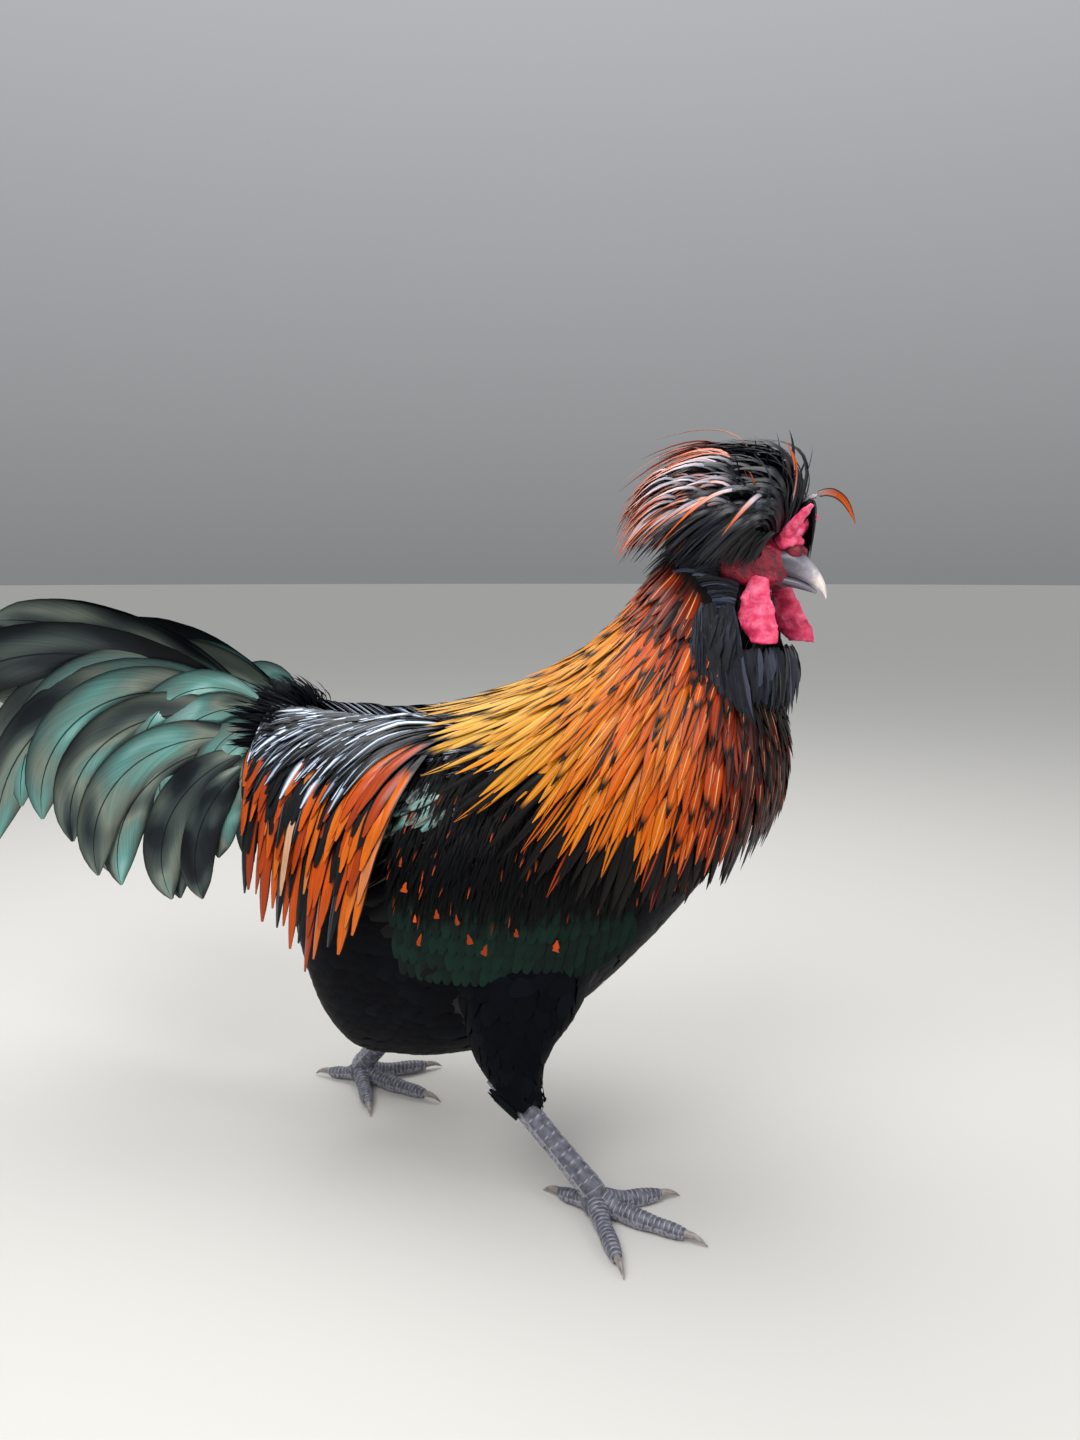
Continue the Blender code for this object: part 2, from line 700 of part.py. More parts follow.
def plume_vane(name, points, side, half, tilt, pieces):
    """A tail feather that shows its broad face to the side, tilted up by some degrees."""
    facing = []
    for i, point in enumerate(points):
        ahead = points[min(i + 1, len(points) - 1)] - points[max(i - 1, 0)]
        outward = Vector((0, side, 0))
        outward -= ahead.normalized() * outward.dot(ahead.normalized())
        facing.append(Matrix.Rotation(math.radians(side * tilt), 3, ahead.normalized()) @ outward.normalized())
    steps = len(points) - 1
    halves = [half * math.sin(math.pi * (0.16 + 0.70 * i / steps)) ** 0.7 for i in range(steps + 1)]
    vane(name, points, facing, halves, QUILL_VANE, pieces)


def make_tail():
    """The tail's root and its upright fan of main feathers, five on each side."""
    points = [TAIL_ROOT + Vector((0.020, 0, 0.0)), TAIL_ROOT, TAIL_ROOT + Vector((-0.022, 0, 0.006)), TAIL_ROOT + Vector((-0.040, 0, 0.013))]
    tail = tube("tail", points, (0.0145, 0.014, 0.012, 0.007), (0.022, 0.022, 0.020, 0.014), (0, 0, 1), 12)
    pieces = pile("tail pieces")
    count = 5
    for side in (-1, 1):
        for k in range(count):
            f = k / (count - 1)
            root = TAIL_ROOT + Vector((-0.008 - 0.004 * f, side * (0.002 + 0.0095 * f), 0.012 - 0.026 * f))
            line = plume(root, side * (1 + 5 * f), 30 - 25 * f, 34 - 8 * f, 0.232 - 0.050 * f, 4)
            plume_vane("tail feather", line, side, 0.0165, 8, pieces)
    return united(tail, pieces)


# Sickles and, after them, the coverts that hang over the tail's foot:
# length, climb, droop, heading, half width, root ahead of the tail's root, root's height
SICKLES = (
    (0.300, 20, 88, 9, 0.0215, 0.000, 0.0200),
    (0.265, 24, 116, 11, 0.0205, 0.000, 0.0170),
    (0.212, 31, 126, 14, 0.0185, 0.000, 0.0100),
    (0.190, 20, 122, 19, 0.0175, 0.000, 0.0050),
    (0.165, 2, 112, 24, 0.0160, 0.000, -0.0040),
    (0.135, -18, 88, 28, 0.0145, 0.000, -0.0140),
    (0.108, -40, 60, 30, 0.0130, 0.000, -0.0240),
)


def make_sickles(side_name):
    """One side's curved sickles, the longest on top, and the coverts below them."""
    side = -1 if side_name == "right" else 1
    heights = (0.028, 0.016, -0.010, -0.034)
    points = [TAIL_ROOT + Vector((0.004 - 0.10 * z, side * (0.0215 - 0.14 * z), z)) for z in heights]
    wides, deeps = (0.0040, 0.0066, 0.0072, 0.0046), (0.010, 0.016, 0.015, 0.008)
    base = tube("sickles_" + side_name, points, wides, deeps, (1, 0, 0), 8)
    pieces = pile("sickle pieces " + side_name)
    for k, (length, climb, droop, heading, half, back, up) in enumerate(SICKLES):
        root = TAIL_ROOT + Vector((back, side * (0.0205 + 0.0014 * k), up))
        steps = 5 if k < 2 else 4
        line = plume(root, side * heading, climb, droop, length, steps, 1.9 if k == 0 else 1.25)
        plume_vane("sickle", line, side, half, 14, pieces)
    return united(base, pieces)


# Head

HEAD_TURN = Matrix.Rotation(HEAD_YAW, 4, "Z") @ Matrix.Rotation(HEAD_PITCH, 4, "Y")
HEAD = Matrix.Translation(HEAD_AT) @ HEAD_TURN


def on_head(x, y, z):
    """A point given forward, left and up of the head's middle."""
    return HEAD @ Vector((x, y, z))


def head_loft(name, stations, count, collection=MODEL, poles=0.35):
    """A loft along the bird's gaze from x, middle z, half width and half height."""
    rings = []
    for x, z, wide, tall in stations:
        ring = oval(Vector((x, 0, z)), Vector((0, 1, 0)), Vector((0, 0, 1)), wide, tall, tall, count)
        rings.append([HEAD @ p for p in ring])
    return loft(name, rings, collection, poles)


def ball(name, centre, radius, segments, collection, squash=(1, 1, 1)):
    bpy.ops.mesh.primitive_uv_sphere_add(segments=segments, ring_count=max(6, segments // 2), radius=1)
    obj = bpy.context.object
    obj.name = name
    size = Matrix.Diagonal((*(radius * s for s in squash), 1.0))
    obj.data.transform(HEAD @ Matrix.Translation(centre) @ size)
    for old in obj.users_collection:
        old.objects.unlink(obj)
    collection.objects.link(obj)
    return obj


def make_eye(side_name):
    side = -1 if side_name == "right" else 1
    return ball("eye_" + side_name, Vector((EYE_AT.x, side * EYE_AT.y, EYE_AT.z)), EYE_RADIUS, 12, MODEL)


def lid_ring(side, pieces):
    """The fleshy rim of lids round an eye, a torus that faces outwards."""
    bpy.ops.mesh.primitive_torus_add(
        major_segments=10, minor_segments=5, major_radius=EYE_RADIUS * 0.98, minor_radius=LID_RIM
    )
    rim = bpy.context.object
    facing = Vector((0.20, side, 0.05)).normalized().to_track_quat("Z", "Y").to_matrix().to_4x4()
    centre = Vector((EYE_AT.x, side * (EYE_AT.y + 0.0022), EYE_AT.z))
    rim.data.transform(HEAD @ Matrix.Translation(centre) @ facing @ Matrix.Diagonal((1.15, 0.9, 1, 1)))
    for old in rim.users_collection:
        old.objects.unlink(rim)
    pieces.objects.link(rim)


def make_head():
    """The skull with its cheeks, lids and the raised nostrils of the breed."""
    head = head_loft("head", [along(SKULL, t) for t in np.linspace(0, 7, 9)], 14)
    pieces = pile("head pieces")
    for side in (-1, 1):
        lid_ring(side, pieces)
        ball("cheek", Vector((-0.003, side * 0.0110, -0.0080)), 0.0085, 8, pieces, (1.5, 0.75, 1.0))
        ball("nostril", Vector((0.0255, side * 0.0040, 0.0085)), 0.0042, 6, pieces, (1.2, 0.75, 0.9))
    return united(head, pieces)


def make_beaks():
    def halves(name, rows, count):
        rings = []
        for x, top, bottom, half in rows:
            centre = Vector((x, 0, (top + bottom) / 2))
            tall = (top - bottom) / 2
            ring = oval(centre, Vector((0, 1, 0)), Vector((0, 0, 1)), half, tall, tall, count)
            rings.append([HEAD @ p for p in ring])
        return loft(name, rings, MODEL, 0.2)

    return halves("beak_upper", BEAK_TOP, 10), halves("beak_lower", BEAK_LOW, 8)


def make_comb():
    """The V-shaped comb: two horns that part over the nostrils."""
    comb = ball("comb", Vector((0.0190, 0, 0.0125)), 0.0066, 8, MODEL, (1.0, 1.15, 0.8))
    pieces = pile("horns")
    for side in (-1, 1):
        curve = ((0.0185, side * 0.002, 0.0130), (0.0200, side * 0.010, 0.0190), (0.0250, side * 0.0165, 0.0370))
        line = [on_head(*bezier(curve, t)) for t in (0, 0.4, 0.8, 1)]
        radii = [0.0042 * k for k in (1.0, 1.05, 0.85, 0.45)]
        tube("horn", line, radii, [r * 0.85 for r in radii], (0, 0, 1), 6, pieces)
        ball("comb bead", Vector((0.0235, side * 0.0045, 0.0135)), 0.0034, 6, pieces)
    return united(comb, pieces)


def make_wattle(side_name):
    """A hanging lappet, crumpled at its edge."""
    side = -1 if side_name == "right" else 1
    top = on_head(0.0125, side * 0.0088, -0.0120)
    lean = Vector((0.004, side * 0.008, 0))
    rows = []
    for k, (down, half, thick, shift) in enumerate((
        (-0.004, 0.0060, 0.0022, 0.000), (0.004, 0.0072, 0.0026, 0.000), (0.011, 0.0092, 0.0028, -0.001),
        (0.019, 0.0102, 0.0026, -0.001), (0.027, 0.0092, 0.0022, 0.001), (0.033, 0.0058, 0.0016, 0.003),
    )):
        fore = HEAD_TURN.to_3x3() @ Vector((1, 0, 0))
        fore = Vector((fore.x, fore.y, 0)).normalized()
        out = Vector((0, 0, 1)).cross(fore) * (0.0012 if k % 2 else -0.0008)
        centre = top + Vector((0, 0, -down)) + fore * shift + lean * (down / 0.033) + out
        rows.append(oval(centre, fore, fore.cross(Vector((0, 0, 1))), half, thick, thick, 12))
    return loft("wattle_" + side_name, rows, MODEL, 0.5)


def lock(name, points, half, pieces, away_from, tilt=0.0):
    """A tapered lock along the curve of three points, its broad face turned from a middle point."""
    spine = [bezier(points, t) for t in (0.0, 0.34, 0.72, 1.0)]
    facing = [(p - away_from).normalized() for p in spine]
    vane(name, spine, facing, [0.0, half, half * 0.84, 0.0], VANE, pieces, tilt=tilt)


def make_crest():
    """The round crest: long narrow feathers from a cushion on the crown, swept back and down."""
    core = ball("crest", CREST_AT, 1.0, 10, MODEL, CREST_CORE)
    pieces = pile("crest pieces")
    draw = random.Random(7)
    for ring, (rise, count) in enumerate(CREST_RINGS):
        for k in range(count):
            turn = 2 * math.pi * (k + 0.5 * (ring % 2)) / count
            if math.cos(turn) > (-0.3, 0.7, 1, 1, 1)[ring]:
                continue  # the face and the comb's horns are here
            d = Vector((math.cos(turn), math.sin(turn), math.sin(math.radians(rise))))
            flat = math.cos(math.radians(rise))
            d.x, d.y = d.x * flat, d.y * flat
            back = 0.5 - 0.5 * math.cos(turn)
            root = CREST_AT + Vector(a * b for a, b in zip(d, CREST_CORE)) * 0.84
            far = (0.041 + 0.031 * back) * draw.uniform(0.92, 1.06)
            tip = Vector((
                -0.010 + far * d.x,
                0.043 * d.y * draw.uniform(0.9, 1.08),
                0.022 - 0.027 * back * flat + 0.044 * d.z * draw.uniform(0.92, 1.10),
            ))
            bend = root.lerp(tip, 0.50) + d * 0.012 + Vector((0, 0, 0.008 + 0.008 * back))
            points = (HEAD @ root, HEAD @ bend, HEAD @ tip)
            lock("crest lock", points, 0.0074, pieces, HEAD @ CREST_AT, tilt=FEATHER_TILT)
    return united(core, pieces)


def make_beard():
    """Beard and muffs: soft feathers from the throat and cheeks that hang down in a full bib."""
    core = ball("beard", Vector(), 1.0, 12, MODEL, BEARD_CORE)
    core.data.transform(HEAD.inverted())
    core.data.transform(Matrix.Translation(BEARD_AT) @ Matrix.Rotation(HEAD_YAW, 4, "Z"))
    pieces = pile("beard pieces")
    draw = random.Random(9)
    turned = Matrix.Rotation(HEAD_YAW, 3, "Z")
    for side in (-1, 1):
        for k in range(2):
            root = Vector((0.000 - 0.003 * k, side * 0.0185, -0.0300 - 0.0070 * k))
            bend = root + Vector((-0.014, side * 0.013, 0.013 - 0.003 * k))
            tip = root + Vector((-0.032, side * 0.010, -0.004 - 0.006 * k))
            points = [HEAD @ p for p in (root, bend, tip)]
            lock("muff lock", points, 0.0105, pieces, HEAD @ Vector((-0.010, 0, -0.020)), tilt=FEATHER_TILT)
    for high, count, hang, spread in BEARD_ROWS:
        flat = math.sqrt(1 - high * high)
        for k in range(count):
            turn = math.radians(-125 + 250 * (k + 0.5) / count)
            d = Vector((flat * math.cos(turn), flat * math.sin(turn), high))
            on_core = Vector(a * b for a, b in zip(d, BEARD_CORE))
            root = BEARD_AT + turned @ (on_core * 0.86)
            out = turned @ Vector((math.cos(turn), math.sin(turn), 0))
            length = hang * draw.uniform(0.95, 1.08)
            bend = root + out * 0.012 * spread + Vector((0, 0, -0.30 * length))
            tip = root + out * 0.008 * spread + Vector((0, 0, -length))
            lock("beard lock", (root, bend, tip), 0.0104, pieces, BEARD_AT + Vector((0, 0, 0.01)), tilt=FEATHER_TILT)
    return united(core, pieces)


def main():
    torso = make_torso()
    eyes = [make_eye(s) for s in ("right", "left")]
    head = clear_of(make_head(), *eyes)
    wings = {s: clear_of(make_wing(s), torso) for s in ("right", "left")}
    thighs = {s: clear_of(make_thigh(s), torso, wings[s]) for s in ("right", "left")}
    saddles = {s: clear_of(make_saddle(s), torso, wings[s], thighs[s]) for s in ("right", "left")}
    clear_of(saddles["left"], saddles["right"])
    tail = clear_of(make_tail(), torso, *saddles.values())
    sickles = {s: clear_of(make_sickles(s), torso, saddles[s], tail) for s in ("right", "left")}
    clear_of(sickles["left"], sickles["right"])
    for s in ("right", "left"):
        cut_by(sickles[s], saddles[s], 0.0)
    neck = clear_of(make_cape(), torso, head, *wings.values(), *saddles.values())
    beak_upper, beak_lower = make_beaks()
    clear_of(beak_upper, head)
    clear_of(beak_lower, head, beak_upper)
    comb = clear_of(make_comb(), head)
    cut_by(comb, beak_upper, 0.0008)
    wattles = [clear_of(make_wattle(s), head, beak_lower) for s in ("right", "left")]
    beard = clear_of(make_beard(), head, neck, beak_lower, *wattles)
    cut_by(beard, neck, 0.0)
    crest = clear_of(make_crest(), head, comb, neck, beard, *eyes)
    shanks = {s: clear_of(make_shank(s), torso, thighs[s]) for s in ("right", "left")}
    feet = {s: clear_of(make_foot(s), shanks[s]) for s in ("right", "left")}
    claws = [clear_of(claw, feet[s]) for s in ("right", "left") for claw in make_claws(s)]

    for obj in (torso, *thighs.values(), *wings.values(), beard, crest):
        finished(obj, FEATHER_BLACK)
    for obj in (tail, *sickles.values()):
        finished(obj, FEATHER_GREEN)
    for obj in (neck, *saddles.values()):
        finished(obj, FEATHER_ORANGE)
    for obj in (head, comb, *wattles):
        finished(obj, SKIN_RED)
    for obj in (beak_upper, beak_lower, *claws):
        finished(obj, BEAK_HORN)
    for obj in (*shanks.values(), *feet.values()):
        finished(obj, SCALE_SLATE)
    for obj in eyes:
        finished(obj, EYE_GLOSS)


main()
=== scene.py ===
"""A life-size still model of a walking crested cockerel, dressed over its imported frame.

Metres, +X the way the bird walks, +Z up, the origin under its right foot's sole. Run it in
Blender: it makes the studio, the skin, the horn and then the plumage from the belly to the crest.
"""

import math
import random
from types import SimpleNamespace

import bmesh
import bpy
import numpy as np
from mathutils import Matrix, Vector, noise
from mathutils.bvhtree import BVHTree


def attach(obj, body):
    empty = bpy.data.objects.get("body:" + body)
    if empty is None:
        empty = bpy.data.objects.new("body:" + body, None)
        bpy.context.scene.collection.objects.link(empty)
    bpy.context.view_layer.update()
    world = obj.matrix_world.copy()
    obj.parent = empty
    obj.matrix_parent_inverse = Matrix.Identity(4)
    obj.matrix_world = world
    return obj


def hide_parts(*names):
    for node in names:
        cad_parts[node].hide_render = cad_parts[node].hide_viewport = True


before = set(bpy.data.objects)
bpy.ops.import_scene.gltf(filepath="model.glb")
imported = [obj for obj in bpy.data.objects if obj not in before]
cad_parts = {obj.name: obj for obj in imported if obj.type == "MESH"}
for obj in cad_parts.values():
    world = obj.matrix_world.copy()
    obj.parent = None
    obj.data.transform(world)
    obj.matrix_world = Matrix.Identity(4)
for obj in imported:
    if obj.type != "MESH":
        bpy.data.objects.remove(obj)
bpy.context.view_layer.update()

# The studio: a plain pale floor, a pale surround and three soft boxes. The camera stands low at
# the bird's right side, a little ahead of it, and looks slightly down.

CAMERA_AT = (0.154, -0.578, 0.380)
CAMERA_TURN = math.radians(18)
CAMERA_DOWN = math.radians(7.9)
SENSOR_HEIGHT = 36  # mm, the photograph's long side
LENS = 27  # mm, a phone's wide view
BIRD_MIDDLE = Vector((-0.10, 0.07, 0.24))
# Each soft box: place, side, watts
SOFT_BOXES = {
    "key_box": ((-0.20, -1.00, 1.35), 0.9, 15),
    "top_box": ((-0.45, 0.30, 1.55), 1.4, 20),
    "front_box": ((1.20, -0.60, 0.75), 0.8, 5),
}
SKY = ((0.0, "#8E8F91"), (0.3, "#B2B4B7"), (1.0, "#F6F8FC"))
SKY_STRENGTH = 0.85
FLOOR_RADIUS = 30


def hex_colour(code):
    """The linear colour of an sRGB hex value, as shaders take it."""
    parts = [int(code[k:k + 2], 16) / 255 for k in (1, 3, 5)]
    return tuple(c / 12.92 if c <= 0.04045 else ((c + 0.055) / 1.055) ** 2.4 for c in parts) + (1.0,)


def fill(node, sockets):
    """Fills a node's sockets with numbers, hex colours, outputs, or nodes for their first output."""
    for name, value in sockets.items():
        if isinstance(value, bpy.types.Node):
            value = value.outputs[0]
        if isinstance(value, bpy.types.NodeSocket):
            node.id_data.links.new(value, node.inputs[name])
        else:
            node.inputs[name].default_value = hex_colour(value) if isinstance(value, str) else value


def add_node(material, kind, sockets=None, stops=(), **settings):
    """Adds a shader node with its settings, its filled sockets and, for a ramp, its stops."""
    node = material.node_tree.nodes.new("ShaderNode" + kind)
    for name, value in settings.items():
        setattr(node, name, value)
    fill(node, sockets or {})
    for i, (place, code) in enumerate(stops):
        ramp = node.color_ramp.elements
        stop = ramp[i] if i < 2 else ramp.new(place)
        stop.position = place
        stop.color = hex_colour(code)
    return node


def new_material(name):
    """A new material and its shader."""
    material = bpy.data.materials.new(name)
    material.use_nodes = True
    return material, material.node_tree.nodes["Principled BSDF"]


def soft_box(name, place, size, watts):
    """A square soft box that faces the middle of the bird."""
    bpy.ops.object.select_all(action="DESELECT")
    turn = (Vector(place) - BIRD_MIDDLE).to_track_quat("Z", "Y").to_euler()
    bpy.ops.object.light_add(type="AREA", location=place, rotation=turn)
    light = bpy.context.object
    light.name = name
    light.data.shape = "SQUARE"
    light.data.size = size
    light.data.energy = watts


bpy.ops.object.select_all(action="DESELECT")
bpy.ops.object.camera_add(location=CAMERA_AT, rotation=(math.pi / 2 - CAMERA_DOWN, 0, CAMERA_TURN))
camera = bpy.context.object
camera.data.sensor_fit = "VERTICAL"
camera.data.sensor_height = SENSOR_HEIGHT
camera.data.lens = LENS
camera.data.clip_start = 0.02
bpy.context.scene.camera = camera

for name, (place, size, watts) in SOFT_BOXES.items():
    soft_box(name, place, size, watts)

# The surround is a pale overcast dome, brighter overhead than at the horizon
surround = bpy.data.worlds.new("pale surround")
bpy.context.scene.world = surround
surround.use_nodes = True
dome = surround.node_tree.nodes["Background"]
way = add_node(surround, "TexCoord").outputs["Generated"]
height = add_node(surround, "SeparateXYZ", {"Vector": way}).outputs["Z"]
fill(dome, {"Color": add_node(surround, "ValToRGB", {"Fac": height}, SKY), "Strength": SKY_STRENGTH})
bpy.context.scene.view_settings.view_transform = "Standard"

bpy.ops.object.select_all(action="DESELECT")
bpy.ops.mesh.primitive_circle_add(vertices=96, radius=FLOOR_RADIUS, fill_type="NGON")
floor = bpy.context.object
floor.name = "studio_floor"
# Matt painted board: an even pale grey with no gloss
board, shader = new_material("matt painted board")
fill(shader, {"Base Color": "#C6C4BF", "Roughness": 0.85})
floor.data.materials.append(board)

# The body under its plumage: the deep keel-shaped trunk, the upright neck and the two drumsticks,
# made as one even skin. The feathers root in it, a few millimetres below the bird's outline.

MID = 0.069  # the bird's middle plane, left of the right foot's sole
COAT_DEPTH = 0.0040  # the skin lies this far under the plumage
NECK_DEPTH = 0.003
BODY_NET = 0.0040  # the spacing of the skin's net
# The trunk from the breast back: x, top, bottom, half width
TRUNK = (
    (0.088, 0.256, 0.240, 0.010),
    (0.081, 0.266, 0.227, 0.026),
    (0.058, 0.278, 0.199, 0.049),
    (0.024, 0.286, 0.156, 0.063),
    (-0.020, 0.287, 0.108, 0.069),
    (-0.066, 0.284, 0.074, 0.070),
    (-0.116, 0.280, 0.054, 0.067),
    (-0.156, 0.277, 0.048, 0.061),
    (-0.186, 0.277, 0.049, 0.054),
    (-0.208, 0.278, 0.071, 0.046),
    (-0.223, 0.281, 0.118, 0.037),
    (-0.239, 0.284, 0.178, 0.028),
    (-0.254, 0.286, 0.230, 0.020),
)
# The neck from the shoulders up: x, z, half depth, half width
NECK = (
    (0.016, 0.235, 0.060, 0.050),
    (0.026, 0.270, 0.050, 0.042),
    (0.036, 0.302, 0.039, 0.033),
    (0.044, 0.332, 0.030, 0.026),
    (0.052, 0.360, 0.024, 0.021),
    (0.062, 0.382, 0.019, 0.017),
)
FOOT = {"right": Vector((0, 0, 0)), "left": Vector((-0.210, 0.108, 0))}
HOCK = {
    "right": FOOT["right"] + Vector((-0.066, 0.012, 0.073)),
    "left": FOOT["left"] + Vector((0.058, 0, 0.080)),
}
# The drumstick from the hip down: ahead of the hock, out from the middle, z, half width, half depth
THIGH = {
    "right": (
        (0.022, 0.036, 0.172, 0.026, 0.046),
        (0.014, 0.043, 0.130, 0.028, 0.041),
        (0.008, 0.050, 0.100, 0.025, 0.033),
        (0.013, 0.056, 0.073, 0.0165, 0.0200),
        (0.026, 0.057, 0.052, 0.0088, 0.0100),
    ),
    "left": (
        (0.058, 0.034, 0.172, 0.026, 0.046),
        (0.034, 0.036, 0.126, 0.028, 0.040),
        (0.008, 0.038, 0.092, 0.021, 0.027),
        (-0.010, 0.039, 0.064, 0.0125, 0.0140),
        (-0.018, 0.039, 0.050, 0.0088, 0.0096),
    ),
}
SIDES = {"right": -1, "left": 1}


def along(rows, t):
    """A smooth reading of a table of rows at t, which runs from 0 to the last row's number."""
    rows = np.asarray(rows, float)
    t = min(max(t, 0.0), len(rows) - 1.0)
    i = min(int(t), len(rows) - 2)
    f = t - i
    p0, p1, p2, p3 = (rows[min(max(k, 0), len(rows) - 1)] for k in range(i - 1, i + 3))
    return 0.5 * (
        2 * p1
        + (p2 - p0) * f
        + (2 * p0 - 5 * p1 + 4 * p2 - p3) * f**2
        + (3 * p1 - p0 - 3 * p2 + p3) * f**3
    )


def oval(centre, side, up, half_side, half_up, count):
    """A ring of points round a centre, the first one at its top."""
    turns = np.arange(count) * 2 * math.pi / count
    wide = np.outer(np.sin(turns) * half_side, np.array(side))
    return np.array(centre) + wide + np.outer(np.cos(turns) * half_up, np.array(up))


def new_object(name, points, faces):
    """A smooth-shaded object of these points and faces."""
    mesh = bpy.data.meshes.new(name)
    mesh.from_pydata(np.asarray(points, float).tolist(), [], faces)
    mesh.shade_smooth()
    obj = bpy.data.objects.new(name, mesh)
    bpy.context.scene.collection.objects.link(obj)
    return obj


def loft(name, rings):
    """A closed surface over rings of points, each end closed to its middle."""
    rings = np.asarray(rings, float)
    count, around = rings.shape[:2]
    points = np.vstack([rings.reshape(-1, 3), rings[[0, -1]].mean(axis=1)])
    faces = []
    for i in range(count - 1):
        for k in range(around):
            n = (k + 1) % around
            a, b = i * around, (i + 1) * around
            faces.append((a + k, a + n, b + n, b + k))
    for k in range(around):
        n = (k + 1) % around
        faces.append((n, k, count * around))
        faces.append(((count - 1) * around + k, (count - 1) * around + n, count * around + 1))
    obj = new_object(name, points, faces)
    bm = bmesh.new()
    bm.from_mesh(obj.data)
    bmesh.ops.recalc_face_normals(bm, faces=bm.faces)
    bm.to_mesh(obj.data)
    bm.free()
    return obj


def tube(name, line, half_sides, half_ups, up, around):
    """A loft along a line of points, its sections square to the line."""
    line = np.asarray(line, float)
    rings = []
    for i, point in enumerate(line):
        ahead = Vector(line[min(i + 1, len(line) - 1)] - line[max(i - 1, 0)]).normalized()
        side = ahead.cross(Vector(up)).normalized()
        rings.append(oval(point, side, side.cross(ahead), half_sides[i], half_ups[i], around))
    return loft(name, rings)


def joined(pieces, name):
    """The pieces joined into one, under this name."""
    bpy.ops.object.select_all(action="DESELECT")
    for piece in pieces:
        piece.select_set(True)
    bpy.context.view_layer.objects.active = pieces[0]
    bpy.ops.object.join()
    bpy.context.object.name = name
    return bpy.context.object


def one_skin(name, pieces, net, smoothing):
    """Joins closed pieces and gives them one even skin, whose net has this spacing."""
    obj = joined(pieces, name)
    bpy.ops.object.modifier_add(type="REMESH")
    obj.modifiers[0].mode = "VOXEL"
    obj.modifiers[0].voxel_size = net
    bpy.ops.object.modifier_add(type="SMOOTH")
    obj.modifiers[1].iterations = smoothing
    for modifier in [m.name for m in obj.modifiers]:
        bpy.ops.object.modifier_apply(modifier=modifier)
    obj.data.shade_smooth()
    return obj


def trunk_at(x, turn, out=0.0, side=1):
    """A point on the trunk at x, turned from the back (0) past the flank (90) to the belly (180)."""
    t = float(np.interp(-x, [-row[0] for row in TRUNK], range(len(TRUNK))))
    _, top, bottom, half = along(TRUNK, t)
    middle = bottom + 0.56 * (top - bottom)
    angle = math.radians(turn)
    tall = (top if math.cos(angle) > 0 else 2 * middle - bottom) - middle
    across, over = side * (half + out) * math.sin(angle), (tall + out) * math.cos(angle)
    return Vector((x, MID + across, middle + over))


stations = [float(along(TRUNK, t)[0]) for t in np.linspace(0, len(TRUNK) - 1, 28)]
trunk = loft("trunk", [[trunk_at(x, 10 * k, -COAT_DEPTH) for k in range(36)] for x in stations])
neck_rings = []
for t in np.linspace(0, len(NECK) - 1, 14):
    x, z, deep, wide = along(NECK, t)
    fore = Vector((0, 1, 0)).cross(Vector((0.42, 0, 1)).normalized())
    neck_rings.append(oval((x, MID, z), (0, 1, 0), fore, wide - NECK_DEPTH, deep - NECK_DEPTH, 28))
body_pieces = [trunk, loft("neck", neck_rings)]
for name, side in SIDES.items():
    rows = [along(THIGH[name], t) for t in np.linspace(0, len(THIGH[name]) - 1, 18)]
    line = [(HOCK[name].x + ahead, MID + side * out, z) for ahead, out, z, _, _ in rows]
    wides = [row[3] - min(COAT_DEPTH, 0.25 * row[3]) for row in rows]
    deeps = [row[4] - min(COAT_DEPTH, 0.25 * row[4]) for row in rows]
    body_pieces.append(tube("thigh", line, wides, deeps, (1, 0, 0), 26))
body = one_skin("body", body_pieces, BODY_NET, 6)

# The head: a small round skull with bare cheeks, lids and the raised cavernous nostrils of the
# breed. It is turned a little to the bird's right, with the bill slightly down.

HEAD_AT = Vector((0.074, MID - 0.004, 0.388))
HEAD_TURN = Matrix.Rotation(math.radians(-15), 4, "Z") @ Matrix.Rotation(math.radians(13), 4, "Y")
HEAD = Matrix.Translation(HEAD_AT) @ HEAD_TURN
# The skull along the bird's gaze: forward, height of the middle, half width, half height
SKULL = (
    (-0.028, -0.002, 0.004, 0.006),
    (-0.024, -0.001, 0.011, 0.013),
    (-0.014, 0.000, 0.0165, 0.019),
    (-0.002, 0.001, 0.0175, 0.0205),
    (0.008, 0.000, 0.0160, 0.0185),
    (0.016, -0.002, 0.0125, 0.0150),
    (0.023, -0.003, 0.0085, 0.0115),
    (0.026, -0.003, 0.0050, 0.0080),
)
EYE_AT = Vector((0.006, 0.0135, 0.0035))
EYE_RADIUS = 0.0048
HEAD_NET = 0.00060
SKULL_DEPTH = 0.0004  # the bone's shape lies this far under the skin
FOLD_DEPTH = 0.00075
GRAIN_DEPTH = 0.00018
LID_HALF_LONG = 0.0050
LID_HALF_TALL = 0.0036
LID_RIM = 0.0013
SOCKET_DEPTH = 0.0046


def ball(name, centre, size, segments=32):
    """A ball given in the head's own frame, with its three half sizes."""
    bpy.ops.object.select_all(action="DESELECT")
    bpy.ops.mesh.primitive_uv_sphere_add(segments=segments, ring_count=segments // 2, radius=1)
    obj = bpy.context.object
    obj.name = name
    obj.data.transform(HEAD @ Matrix.Translation(centre) @ Matrix.Diagonal((*size, 1.0)))
    obj.data.shade_smooth()
    return obj


